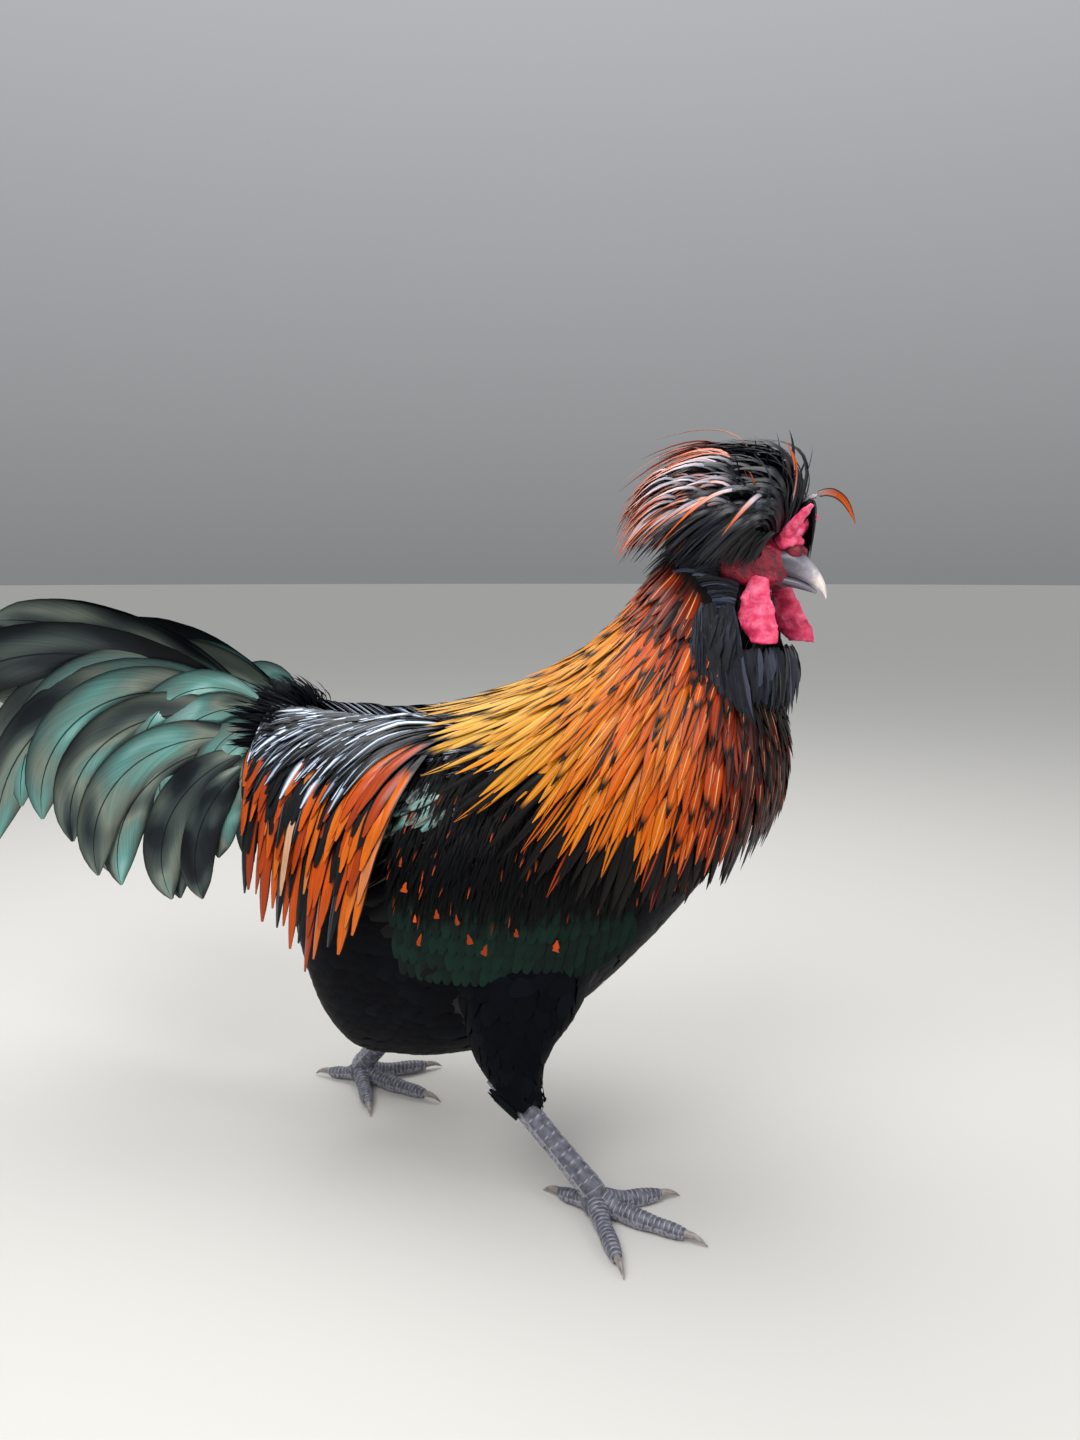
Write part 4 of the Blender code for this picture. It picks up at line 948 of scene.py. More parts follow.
draw = random.Random(21)
close_coat = Feathers(6, 5, ROUND, cup=0.07, ragged=0.03)
for p in scatter(BODY_SPACING, lambda p: p.z < CLOSE_COAT_TOP, 5):
    share, _ = on_leg(p)
    cuff = 1 - 0.72 * (1 - float(step_up(p.z, 0.052, 0.096))) * share
    length = draw.uniform(0.0215, 0.0260) * (1 - 0.15 * share) * cuff
    spread = draw.uniform(0.0060, 0.0072) * (1 - 0.22 * share) * cuff
    laid = lay(p, body_lie, length, 6, (0.0, 0.0013, 0.0020, 0.0022 * cuff))
    close_coat.add(laid, spread, draw.random(), tilt=draw.uniform(-2, 2), place=round_body(p))
for name in SIDES:
    # The cuff: a ring of short feathers that close round the top of each shank
    ankle = FOOT[name] + Vector((0, 0, ANKLE_UP))
    down = (ankle - HOCK[name]).normalized()
    end = HOCK[name].lerp(ankle, 0.22)
    for k in range(CUFF_FEATHERS):
        turn = draw.uniform(0, 2 * math.pi)
        out = Vector((math.cos(turn), math.sin(turn), 0))
        out = (out - down * out.dot(down)).normalized()
        start = end + down * (0.003 * (k % 3) - 0.015)
        spine = [start + down * 0.018 * t + out * (0.0115 - 0.0026 * t) for t in np.linspace(0, 1, 6)]
        close_coat.add((spine, [out] * 6), 0.0026, draw.random())
dress(close_coat.mesh("close_coat", 1), black_web.material, "black_plumage")

# The folded wing: under a mop of hair-fine black shoulder plumes lies a bar of rounded coverts with
# a dark beetle-green gloss. The flight feathers are tucked under the saddle, and a few short
# shoulder feathers end in an orange fleck.

FLARE = (0.05, 0.30, 0.55, 0.80, 1.00, 0.92)
# Where the mop ends and the bar begins, and where the bar ends: x, turn round the trunk
MOP_END = ((-0.130, 90), (-0.104, 93), (-0.052, 98), (-0.004, 108), (0.036, 121), (0.056, 136))
BAR_END = ((-0.130, 108), (-0.104, 113), (-0.052, 120), (-0.004, 136), (0.036, 144), (0.056, 150))
UPPER_COVERTS = 9
BAR_ROWS = 5
BAR_COVERTS = 24  # in each row
MOP_PLUMES = 1500
# The flecks on a flank: x, turn
FLECKS = (
    (-0.110, 94), (-0.096, 93), (-0.083, 95), (-0.106, 99), (-0.076, 101), (-0.064, 105), (-0.046, 103),
    (-0.022, 112), (-0.116, 84), (-0.120, 76),
)

# Wing web: black keratin whose zone brings out a beetle-green gloss; its fleck is rusty orange
wing_web = vane_finish("green-glossed wing feather", (1.4, 26.0, 8.0), 0.22, 0.40, 0.10)
made = wing_web.material
gloss = add_node(
    made, "ValToRGB", {"Fac": wing_web.zone},
    ((0.0, "#050507"), (0.45, "#07090B"), (0.8, "#0A1A16"), (1.0, "#0D271F")),
)
reach = add_node(made, "Math", {0: wing_web.along, 1: wing_web.streak}, operation="MULTIPLY")
fleck = add_node(made, "Math", {0: reach, 1: 9.0, 2: -7.4}, operation="MULTIPLY_ADD", use_clamp=True)
rust = add_node(made, "MixRGB", {"Fac": wing_web.tone, "Color1": "#5A200C", "Color2": "#D0541A"})
web = add_node(made, "MixRGB", {"Fac": fleck, "Color1": gloss, "Color2": rust})
fill(wing_web.shader, {"Base Color": web})


def flank_spine(side, x, turn, back, fall, rows, lifts):
    """A spine on the trunk's side from x and turn, as far back and down as given."""
    spine, facing = [], []
    for t, lift in zip(np.linspace(0, 1, rows), read(lifts, rows)):
        here = trunk_at(x - back * t, turn + fall * t, lift, side)
        spine.append(here)
        facing.append((trunk_at(x - back * t, turn + fall * t, lift + 0.001, side) - here).normalized())
    return spine, facing


def read_turn(table, x):
    """The turn round the trunk that a table of x and turn gives at x."""
    return float(np.interp(x, [row[0] for row in table], [row[1] for row in table]))


for name, side in SIDES.items():
    draw = random.Random(31)
    coverts = Feathers(10, 7, ROUND, cup=0.14, ragged=0.02)
    for k in range(UPPER_COVERTS):
        f = k / (UPPER_COVERTS - 1)
        x, turn, fall = -0.030 - 0.070 * f, 100 - 30 * f, 12 - 6 * f
        laid = flank_spine(side, x, turn, 0.080, fall, 10, (0.001, 0.0040, 0.0048))
        coverts.add(laid, 0.0094, draw.random(), 0.25, tilt=-6 * side)
    for row in range(BAR_ROWS):
        lift = 0.0050 + 0.0010 * row
        for k in range(BAR_COVERTS):
            x = 0.018 - 0.142 * (k + 0.5 * (row % 2) + draw.uniform(-0.12, 0.12)) / BAR_COVERTS
            high, low = read_turn(MOP_END, x), read_turn(BAR_END, x)
            turn = low - 13 - (low - high) * row / (BAR_ROWS - 1)
            laid = flank_spine(side, x, turn, 0.006, 13, 10, (0.000, lift * 0.9, lift))
            zone = 0.75 + 0.25 * draw.random()
            coverts.add(laid, 0.0046, draw.random(), zone)
    dress(coverts.mesh("wing_coverts_" + name, 2), wing_web.material, "black_plumage", "wing_" + name)

    mop = Feathers(7, 3, HAIR, cup=0.30, ragged=0.10)
    for k in range(MOP_PLUMES):
        x = draw.uniform(-0.122, 0.066)
        above = 46 * draw.random() ** 1.2
        fall = draw.uniform(15, 25)
        tip = read_turn(MOP_END, x) + draw.uniform(-4, 5) - above
        back = draw.uniform(0.004, 0.013)
        lifts = (0.001, 0.0085, 0.0100 + 0.0020 * draw.random())
        laid = flank_spine(side, x, tip - fall, back, fall, 7, lifts)
        rusty = float(draw.random() < 0.06)
        mop.add(laid, draw.uniform(0.0009, 0.0018), 0.7 * draw.random(), 0.3 * draw.random(), rusty,
                draw.uniform(-25, 25))
    dress(mop.mesh("shoulder_plumes_" + name, 3), wing_web.material, "black_plumage")

    flecks = Feathers(6, 3, FLARE, cup=0.10, ragged=0.40)
    for x, turn in FLECKS:
        back, fall = draw.uniform(-0.002, 0.004), draw.uniform(2.0, 3.6)
        laid = flank_spine(side, x + 0.001, turn - 2, back, fall, 6, (0.0108, 0.0118, 0.0122))
        flecks.add(laid, draw.uniform(0.0010, 0.0021), draw.uniform(0.3, 1.0), 0, 9.0,
                   draw.uniform(-12, 12))
    dress(flecks.mesh("wing_flecks_" + name, 4), wing_web.material, "black_plumage")

# The hackle cape: hundreds of long narrow feathers that fall from the nape over the shoulders and
# breast. They are dark at the neck, fiery in the middle, golden at the rear and often black-tipped.

CAPE_FEATHERS = 640  # on each side
GOLDEN = 0.61803  # steps of this share spread any number of feathers evenly
# The cape's sheet from behind past the side to the breast: x, distance from the middle plane and z
# of its collar, its bulge and its hem
CAPE = (
    ((0.020, 0.000, 0.384), (-0.010, 0.000, 0.318), (-0.126, 0.000, 0.292)),
    ((0.023, 0.014, 0.381), (-0.006, 0.036, 0.314), (-0.112, 0.044, 0.283)),
    ((0.032, 0.025, 0.374), (0.002, 0.064, 0.308), (-0.082, 0.074, 0.250)),
    ((0.044, 0.032, 0.364), (0.018, 0.078, 0.298), (-0.036, 0.087, 0.212)),
    ((0.056, 0.034, 0.348), (0.040, 0.082, 0.288), (0.008, 0.086, 0.196)),
    ((0.068, 0.030, 0.332), (0.074, 0.072, 0.278), (0.046, 0.071, 0.196)),
    ((0.078, 0.017, 0.322), (0.104, 0.042, 0.274), (0.074, 0.041, 0.209)),
    ((0.082, 0.000, 0.318), (0.115, 0.000, 0.272), (0.084, 0.000, 0.216)),
)


class Sheet:
    """A coat's surface on one side, kept as a dense net. t runs from its roots to its hem."""

    STEPS = 12

    def __init__(self, rows, side):
        self.last = len(rows) - 1
        ts = np.linspace(-0.1, 1.1, 49)[:, None]
        net = []
        for at in np.linspace(0, self.last, self.last * self.STEPS + 1):
            a, b, c = (along([row[k] for row in rows], at) for k in range(3))
            net.append(a * (1 - ts) ** 2 + b * 2 * ts * (1 - ts) + c * ts * ts)
        net = np.array(net)
        net[..., 1] = MID + side * net[..., 1]
        out = np.cross(np.gradient(net, axis=0), np.gradient(net, axis=1)) * side
        self.net = np.concatenate([net, out / np.linalg.norm(out, axis=2, keepdims=True)], axis=2)

    def at(self, at, t, lift):
        """A point over the sheet, and the way out from it."""
        i = min(max(at, 0.0), self.last) * self.STEPS
        j = (min(max(t, -0.1), 1.1) + 0.1) * 40
        i0, j0 = min(int(i), len(self.net) - 2), min(int(j), 47)
        f, g = i - i0, j - j0
        corners = self.net[i0:i0 + 2, j0:j0 + 2]
        found = (corners[0, 0] * (1 - f) + corners[1, 0] * f) * (1 - g)
        found = found + (corners[0, 1] * (1 - f) + corners[1, 1] * f) * g
        out = Vector(found[3:]).normalized()
        return Vector(found[:3]) + out * lift, out

    def hackle(self, at, start, end, sway, rows, lifts):
        """The spine and facings of one long feather down the sheet."""
        places = [
            self.at(at + sway * t, start + (end - start) * t, lift)
            for t, lift in zip(np.linspace(0, 1, rows), read(lifts, rows))
        ]
        return [p for p, _ in places], [out for _, out in places]


# Hackle web: thin glossy keratin, its red-brown pigment lighter to orange and gold; the black of
# its stripe and tip is melanin, the quill is a pale line, and each vane darkens towards its edges
# as painted shade between the overlapping feathers
hackle_web = vane_finish("fiery hackle feather", (2.0, 5.0, 1.5), 0.25, 0.34, 0.20)
made = hackle_web.material
heat = add_node(made, "Math", {0: hackle_web.tone, 1: 0.16, 2: hackle_web.zone}, operation="MULTIPLY_ADD")
fire = add_node(
    made, "ValToRGB", {"Fac": heat},
    ((0.05, "#1C0A09"), (0.20, "#721D08"), (0.36, "#C84404"), (0.52, "#EC6604"), (0.68, "#F28406"),
     (0.84, "#F49E16"), (1.0, "#F8C04C")),
)
web = barbed(hackle_web, fire, "#909090")
# Painted shade: the vane darkens towards its edges, as the shadows between overlapping feathers
edge = add_node(made, "ValToRGB", {"Fac": hackle_web.across}, ((0.70, "#FFFFFF"), (1.0, "#5A3018")))
web = add_node(made, "MixRGB", {"Fac": 1.0, "Color1": web, "Color2": edge}, blend_type="MULTIPLY")
quill = add_node(
    made, "Math", {0: hackle_web.across, 1: -9.0, 2: 1.1}, operation="MULTIPLY_ADD", use_clamp=True
)
quill = add_node(made, "Math", {0: quill, 1: hackle_web.tone}, operation="MULTIPLY")
stripe = add_node(made, "Math", {0: hackle_web.streak, 1: hackle_web.across}, operation="SUBTRACT")
stripe = add_node(made, "Math", {0: stripe, 1: 6.0, 2: 0.0}, operation="MULTIPLY_ADD", use_clamp=True)
tip_end = add_node(
    made, "Math", {0: hackle_web.along, 1: 14.0, 2: -12.2}, operation="MULTIPLY_ADD", use_clamp=True
)
tip_marked = add_node(
    made, "Math", {0: hackle_web.streak, 1: -1.0, 2: 0.0}, operation="MULTIPLY_ADD", use_clamp=True
)
black_tip = add_node(made, "Math", {0: tip_end, 1: tip_marked}, operation="MULTIPLY")
root_end = add_node(
    made, "Math", {0: hackle_web.along, 1: -5.0, 2: 2.1}, operation="MULTIPLY_ADD", use_clamp=True
)
for share, colour in ((quill, "#E8B078"), (stripe, "#0E0908"), (black_tip, "#0E0908"), (root_end, "#0F0A0A")):
    web = add_node(made, "MixRGB", {"Fac": share, "Color1": web, "Color2": colour})
fill(hackle_web.shader, {"Base Color": web})


def hackle_colours(at, tip, draw):
    """A hackle's zone and streak from its place: rear 0, side 3.5, breast 7; tip 0 neck, 1 hem."""
    rear = 1 - float(step_up(at, 1.2, 3.4))
    front = float(step_up(at, 3.9, 5.9))
    away = float(step_up(tip, 0.10, 0.46))
    low = float(step_up(tip, 0.62, 0.86))
    zone = 0.12 + 0.37 * away + 0.07 * low + (0.24 + 0.10 * low) * rear * away - 0.47 * front
    hem = float(step_up(tip, 0.89, 0.97)) * (1 - 0.8 * rear)
    chance = draw.random()
    if hem > 0.3:
        return zone - 0.20 * hem, 1.5 if chance < 0.40 + 0.50 * hem else 0.5
    if low > 0.5 and chance < 0.34 * (1 - rear):
        return zone, draw.uniform(0.25, 0.65)
    if tip < 0.42 and chance < 0.42:
        return zone, draw.uniform(0.35, 0.75)
    if chance < 0.16:
        return zone, draw.uniform(0.15, 0.50)
    return zone, -1.0 if chance > 0.80 else 0.0


cape = Feathers(13, 5, HACKLE, cup=0.26, ragged=0.02)
draw = random.Random(41)
for side in (-1, 1):
    sheet = Sheet(CAPE, side)
    tips = sorted((1.03 - 0.92 * draw.random() ** 1.10 for _ in range(CAPE_FEATHERS)), reverse=True)
    for n, tip in enumerate(tips):
        at = (len(CAPE) - 1) * ((n * GOLDEN) % 1) + draw.uniform(-0.05, 0.05)
        longer = 0.045 * (1 - float(step_up(at, 1.5, 4.0))) * float(step_up(tip, 0.6, 1.0))
        start = max(tip - draw.uniform(0.46, 0.56), -0.10)
        deep = float(step_up(start, 0.0, 0.3))
        lift = 0.0032 * (1 - tip) + draw.uniform(-0.0008, 0.0014)
        laid = sheet.hackle(
            at, start, tip + longer, draw.uniform(-0.14, 0.14), 13,
            (-0.0030 - 0.0090 * deep, -0.0015 - 0.0040 * deep, -0.0012 + lift, 0.0006 + lift),
        )
        zone, streak = hackle_colours(at, tip, draw)
        place = (0.5 + side * at / 16, 0.05 + 0.9 * min(start + 0.05, 1.0))
        half = draw.uniform(0.0031, 0.0041) * (1 - 0.22 * float(step_up(tip, 0.75, 0.95)))
        cape.add(laid, half, draw.random(), zone, streak, draw.uniform(-9, 9), place)
dress(cape.mesh("hackle_cape", 3), hackle_web.material, "orange_plumage", "neck")

# The saddle: pointed feathers that fall from the back over the rump and the wing's end. The upper
# ones are black with a painted blue-white highlight down each vane, and the lower ones are orange
# with black edges.

SADDLE_FEATHERS = 380  # on each side
# One side's saddle from the tail forward: root on the back, bulge and hem
SADDLE = (
    ((-0.228, 0.010, 0.295), (-0.250, 0.048, 0.282), (-0.240, 0.056, 0.172)),
    ((-0.196, 0.010, 0.291), (-0.220, 0.058, 0.286), (-0.216, 0.068, 0.148)),
    ((-0.161, 0.010, 0.289), (-0.188, 0.068, 0.288), (-0.193, 0.078, 0.135)),
    ((-0.126, 0.010, 0.291), (-0.158, 0.076, 0.290), (-0.171, 0.086, 0.133)),
    ((-0.091, 0.010, 0.294), (-0.124, 0.082, 0.292), (-0.146, 0.090, 0.150)),
)

# Saddle web: glossy black keratin with a painted blue-white highlight down the middle of the vane,
# as bright as its zone; the lower half is orange inside a black edge
saddle_web = vane_finish("orange-tipped saddle feather", (2.0, 6.0, 2.0), 0.30, 0.28, 0.38)
made = saddle_web.material
# Painted highlight: the zone, less the distance from the quill, lights a blue-white streak down each black
# vane
shine = add_node(
    made, "Math", {0: saddle_web.across, 1: -1.0, 2: saddle_web.zone}, operation="MULTIPLY_ADD"
)
black = add_node(
    made, "ValToRGB", {"Fac": shine},
    ((0.0, "#050608"), (0.20, "#12161E"), (0.50, "#8696AC"), (0.85, "#E4EEFC")),
)
fire = add_node(
    made, "ValToRGB", {"Fac": saddle_web.tone},
    ((0.0, "#A83600"), (0.5, "#DC5400"), (0.9, "#F07608"), (0.99, "#E8B08A")),
)
fiery = barbed(saddle_web, fire, "#A4A4A4")
end_from = add_node(
    made, "Math", {0: saddle_web.along, 1: 9.0, 2: -3.0}, operation="MULTIPLY_ADD", use_clamp=True
)
within = add_node(
    made, "Math", {0: saddle_web.across, 1: -8.0, 2: 6.9}, operation="MULTIPLY_ADD", use_clamp=True
)
lit = add_node(made, "Math", {0: end_from, 1: within}, operation="MULTIPLY")
lit = add_node(made, "Math", {0: lit, 1: saddle_web.streak}, operation="MULTIPLY")
web = add_node(made, "MixRGB", {"Fac": lit, "Color1": black, "Color2": fiery})
fill(saddle_web.shader, {"Base Color": web})

for name, side in SIDES.items():
    sheet = Sheet(SADDLE, side)
    saddle = Feathers(14, 5, SPOON, cup=0.28, ragged=0.03)
    draw = random.Random(51)
    tips = sorted((1.02 - 0.84 * draw.random() ** 0.60 for _ in range(SADDLE_FEATHERS)), reverse=True)
    for n, tip in enumerate(tips):
        at = (len(SADDLE) - 1) * ((n * GOLDEN) % 1) + draw.uniform(-0.06, 0.06)
        upper = 1 - float(step_up(tip, 0.45, 0.80))
        start = max(tip - draw.uniform(0.38, 0.48), 0.02)
        lift = 0.0030 * (1 - tip) + draw.uniform(-0.0008, 0.0012)
        laid = sheet.hackle(
            at, start, tip, draw.uniform(-0.16, 0.10) - 1.3 * upper, 14,
            (-0.0075 - 0.0060 * upper, -0.0035 - 0.0030 * upper, -0.0008 + lift, 0.0008 + lift),
        )
        orange = tip > 0.58 and draw.random() < 0.50 + 0.20 * float(step_up(tip, 0.62, 0.84))
        half = draw.uniform(0.0038, 0.0048) if tip > 0.58 else draw.uniform(0.0017, 0.0025)
        # Painted highlight: the upper black feathers take higher zones, and so brighter streaks, than the
        # lower ones
        zone = 0.1 if orange else draw.random() ** 0.9 if tip < 0.62 else 0.35 * draw.random()
        place = (0.1 + 0.2 * at, 0.05 + 0.9 * min(start + 0.05, 1.0))
        saddle.add(laid, half, draw.uniform(0.0, 0.93), zone, float(orange), draw.uniform(-14, 14), place)
    # One pale feather lies over the others
    laid = sheet.hackle(1.55, 0.50, 0.86, 0.05, 14, (-0.0060, 0.0030, 0.0050))
    saddle.add(laid, 0.0034, 1.0, 0.1, 1.0, place=(0.42, 0.6))
    coat = saddle.mesh("saddle_" + name + "_feathers", 4)
    dress(coat, saddle_web.material, "saddle_plumage", "saddle_" + name)

# The back between cape and tail: long narrow black feathers that lie flat and close the middle
# line, streaked with a painted blue-white highlight that is strongest along the top, and loose dark
# fluff that stands round the tail's foot.

BACK_FEATHERS = 1200
BACK_TURN = 76  # how far the back's feathers reach round the trunk
FLUFF_PLUMES = 420
TAIL_ROOT = Vector((-0.258, MID, 0.272))

back = Feathers(10, 5, LANCE, cup=0.36, ragged=0.04)
draw = random.Random(61)
for k in range(BACK_FEATHERS):
    x, turn = draw.uniform(-0.212, 0.010), draw.uniform(-BACK_TURN, BACK_TURN) * draw.random() ** 0.4
    side = 1 if turn > 0 else -1
    turn = abs(turn)
    length = draw.uniform(0.042, 0.058)
    flat = 1 - float(step_up(turn, 14, 40))
    top = 0.0074 + 0.0022 * (1 - flat) * draw.random()
    laid = flank_spine(side, x, turn, length, 20 * turn / BACK_TURN, 10, (-0.004, 0.0055, top))
    half = draw.uniform(0.0015, 0.0024) * (1 - 0.45 * flat)
    # Painted highlight: the zone sets each feather's blue-white streak, brightest along the top of the back
    # and fading down the sides
    pale = draw.random() ** 0.6 * (1 - 0.9 * float(step_up(turn, 34, 50)))
    back.add(laid, half, draw.random(), pale, 0.0, draw.uniform(-14, 14))
dress(back.mesh("back_feathers", 5), saddle_web.material, "saddle_plumage")

fluff = Feathers(7, 3, HAIR, cup=0.20, ragged=0.20)
for k in range(FLUFF_PLUMES):
    turn = math.radians(draw.uniform(-110, 110))
    d = Vector((draw.uniform(-0.5, 0.25), math.sin(turn), math.cos(turn))).normalized()
    root = Vector((draw.uniform(-0.246, -0.216), MID, 0.272)) + Vector((0, 0.022 * d.y, 0.018 * d.z))
    tip = root + d * draw.uniform(0.012, 0.021) + Vector((-0.016, 0, 0.000))
    laid = (curve((root, root + d * 0.012, tip), 7), [d] * 7)
    fluff.add(laid, draw.uniform(0.0006, 0.0012), draw.random(), tilt=draw.uniform(-40, 40))
dress(fluff.mesh("tail_root_fluff", 5), black_web.material, "black_plumage")

# The tail: an upright fan of broad main feathers, and over it the curved sickles and their coverts.
# Their webs are beetle-green with a satin shine and darker along the quill, with painted shade
# towards each edge.

# Sickles from the longest down: length, climb, droop, heading, half width, root ahead, root's height
SICKLES = (
    (0.300, 20, 88, 9, 0.0215, 0.000, 0.0200),
    (0.265, 24, 116, 11, 0.0205, 0.000, 0.0170),
    (0.212, 31, 126, 14, 0.0185, 0.000, 0.0100),
    (0.190, 20, 122, 19, 0.0175, 0.000, 0.0050),
    (0.165, 2, 112, 24, 0.0160, 0.000, -0.0040),
    (0.135, -18, 88, 28, 0.0145, 0.000, -0.0140),
    (0.108, -40, 60, 30, 0.0130, 0.000, -0.0240),
)


def plume(root, side, heading, climb, droop, length, rows, ease, tilt):
    """The spine and facings of a tail feather that leaves its root at an angle and bends down."""
    spine = [root.copy()]
    for i in range(rows - 1):
        f = (i + 0.5) / (rows - 1)
        rise, turn = math.radians(climb - droop * f**ease), math.radians(side * heading)
        ahead = Vector((-math.cos(turn) * math.cos(rise), math.sin(turn) * math.cos(rise), math.sin(rise)))
        spine.append(spine[-1] + ahead * length / (rows - 1))
    facing = []
    for i in range(rows):
        ahead = (spine[min(i + 1, rows - 1)] - spine[max(i - 1, 0)]).normalized()
        outward = Vector((0, side, 0)) - ahead * (side * ahead.y)
        facing.append(Matrix.Rotation(math.radians(side * tilt), 3, ahead) @ outward.normalized())
    return spine, facing


# Tail web: keratin whose fine structure throws back grey-green and teal, almost like metal; the
# colour drifts along each vane, its quill stays black, and painted shade darkens it towards its edges
tail_web = vane_finish("beetle-green tail feather", (0.8, 60.0, 26.0), 0.20, 0.32, 0.50)
made = tail_web.material
far = add_node(made, "Math", {0: tail_web.along, 1: 2.6}, operation="MULTIPLY")
rim = add_node(made, "Math", {0: tail_web.signed, 1: 0.7}, operation="MULTIPLY")
own = add_node(made, "Math", {0: tail_web.tone, 1: 29.0}, operation="MULTIPLY")
spot = add_node(made, "CombineXYZ", {"X": rim, "Y": far, "Z": own})
drift = add_node(made, "TexNoise", {"Vector": spot, "Scale": 1.0, "Detail": 1.0})
own_hue = add_node(made, "Math", {0: tail_web.zone, 1: 1.0, 2: -0.75}, operation="MULTIPLY_ADD")
hue = add_node(made, "Math", {0: drift, 1: 1.5, 2: own_hue}, operation="MULTIPLY_ADD")
gloss = add_node(
    made, "ValToRGB", {"Fac": hue},
    ((0.05, "#10141A"), (0.24, "#2A333A"), (0.42, "#65736F"), (0.58, "#A0AC9E"), (0.72, "#86ADA4"),
     (0.86, "#84C8C0"), (1.0, "#BCF4EC")),
)
# Painted shade: the dark line at the quill is pigment, and the fall to dark towards each edge is shade
# painted as on a curved satin vane
edge = add_node(
    made, "ValToRGB", {"Fac": tail_web.across},
    ((0.010, "#34383C"), (0.045, "#FFFFFF"), (0.50, "#F4F4F4"), (0.86, "#B4B4B4"), (1.0, "#3A4046")),
)
sockets = {"Fac": 1.0, "Color1": barbed(tail_web, gloss, "#A8A8A8"), "Color2": edge}
web = add_node(made, "MixRGB", sockets, blend_type="MULTIPLY")
fill(tail_web.shader, {"Base Color": web, "Metallic": 0.6})

# The main feathers' hues from the middle pair out
MAIN_ZONES = (0.30, 0.60, 0.50, 0.55, 0.40, 0.50, 0.35)
# Broad teal coverts over the sickles' bases: climb, droop, length, half width, root's height
TAIL_COVERTS = (
    (8, 128, 0.128, 0.0150, 0.016),
    (30, 120, 0.110, 0.0130, 0.022),
    (-22, 80, 0.090, 0.0130, -0.002),
    (-48, 40, 0.080, 0.0110, -0.014),
    (-10, 100, 0.075, 0.0105, 0.006),
)
PATCH_FEATHERS = 16  # on each side, where the back meets the wing
# A tail feather's outline from its root to its round tip
BLADE = (
    0.26, 0.46, 0.64, 0.78, 0.88, 0.94, 0.98, 1.00, 1.00,
    1.00, 1.00, 0.99, 0.97, 0.92, 0.84, 0.70, 0.46, 0.06,
)
main_tail = Feathers(26, 11, BLADE, cup=0.12, ragged=0.010)
draw = random.Random(71)
for side in (-1, 1):
    for k, zone in enumerate(MAIN_ZONES):
        f = k / (len(MAIN_ZONES) - 1)
        root = TAIL_ROOT + Vector((-0.008 - 0.004 * f, side * (0.002 + 0.0095 * f), 0.012 - 0.026 * f))
        length, heading, climb, droop = 0.232 - 0.050 * f, 1 + 5 * f, 30 - 25 * f, 34 - 8 * f
        laid = plume(root, side, heading, climb, droop, length, 26, 1.25, 8)
        main_tail.add(laid, 0.0190, draw.random(), zone, place=(0.5 + side * 0.02 * (k + 1), 0.2))
dress(main_tail.mesh("main_tail", 6), tail_web.material, "green_plumage", "tail")

for name, side in SIDES.items():
    sickles = Feathers(28, 13, BLADE, cup=0.24, ragged=0.010)
    draw = random.Random(81)
    for k in np.arange(0, 6.01, 0.5):
        length, climb, droop, heading, half, ahead, up = along(SICKLES, k)
        inner = float(k % 1 > 0)
        root = TAIL_ROOT + Vector((ahead, side * (0.0205 + 0.0014 * k - 0.004 * inner), up))
        jitter = 0.0 if k == 0 else 1.0
        laid = plume(
            root, side, heading - 3 * inner + jitter * draw.uniform(-2, 2),
            climb + jitter * draw.uniform(-5, 5), droop + jitter * draw.uniform(-8, 8),
            length * (1 - jitter * draw.uniform(0.0, 0.10)), 28, 1.9 if k == 0 else 1.25,
            draw.uniform(10, 20),
        )
        # The lower sickles take darker zones: painted shade on the tail's underside
        zone = 0.10 if k == 0 else 0.66 if k < 1.2 else 0.64 - 0.07 * k + 0.22 * draw.random()
        sickles.add(laid, half, draw.random(), zone, place=(0.1 + 0.12 * k, 0.5))
    for climb, droop, length, half, up in TAIL_COVERTS:
        root = TAIL_ROOT + Vector((0.012, side * 0.026, up))
        laid = plume(root, side, 15, climb, droop, length, 28, 1.1, 16)
        sickles.add(laid, half, draw.random(), draw.uniform(0.70, 0.92), place=(0.9, 0.5 + up))
    coat = sickles.mesh("sickle_feathers_" + name, 7)
    dress(coat, tail_web.material, "green_plumage", "sickles_" + name)

# Where wing and back meet, a few broad body feathers have the tail's blue-green gloss
patch = Feathers(10, 5, ROUND, cup=0.14, ragged=0.02)
for side in (-1, 1):
    draw = random.Random(85)
    for k in range(PATCH_FEATHERS):
        x, turn = -0.074 - 0.042 * draw.random(), draw.uniform(42, 58)
        laid = flank_spine(side, x, turn, 0.030, 12, 10, (0.001, 0.0095, 0.0112))
        patch.add(laid, draw.uniform(0.0034, 0.0046), draw.random(), draw.uniform(0.52, 0.68), 0,
                  draw.uniform(-8, 8))
dress(patch.mesh("blue_green_patch", 8), tail_web.material, "green_plumage")

# The beard and muffs: a full bib of soft loose feathers from the throat, and hair-fine tufts that
# sweep back from the cheeks. All are dull black with a grey bloom where their fringes catch light.

BEARD_AT = Vector((0.073, MID - 0.004, 0.341))
BEARD_CORE = Vector((0.030, 0.033, 0.029))
BEARD_FEATHERS = 1200
BIB_FEATHERS = 340  # on each side
CHIN_FEATHERS = 300
MUFF_PLUMES = 560  # on each side
CHEEK_PLUMES = 240  # on each side

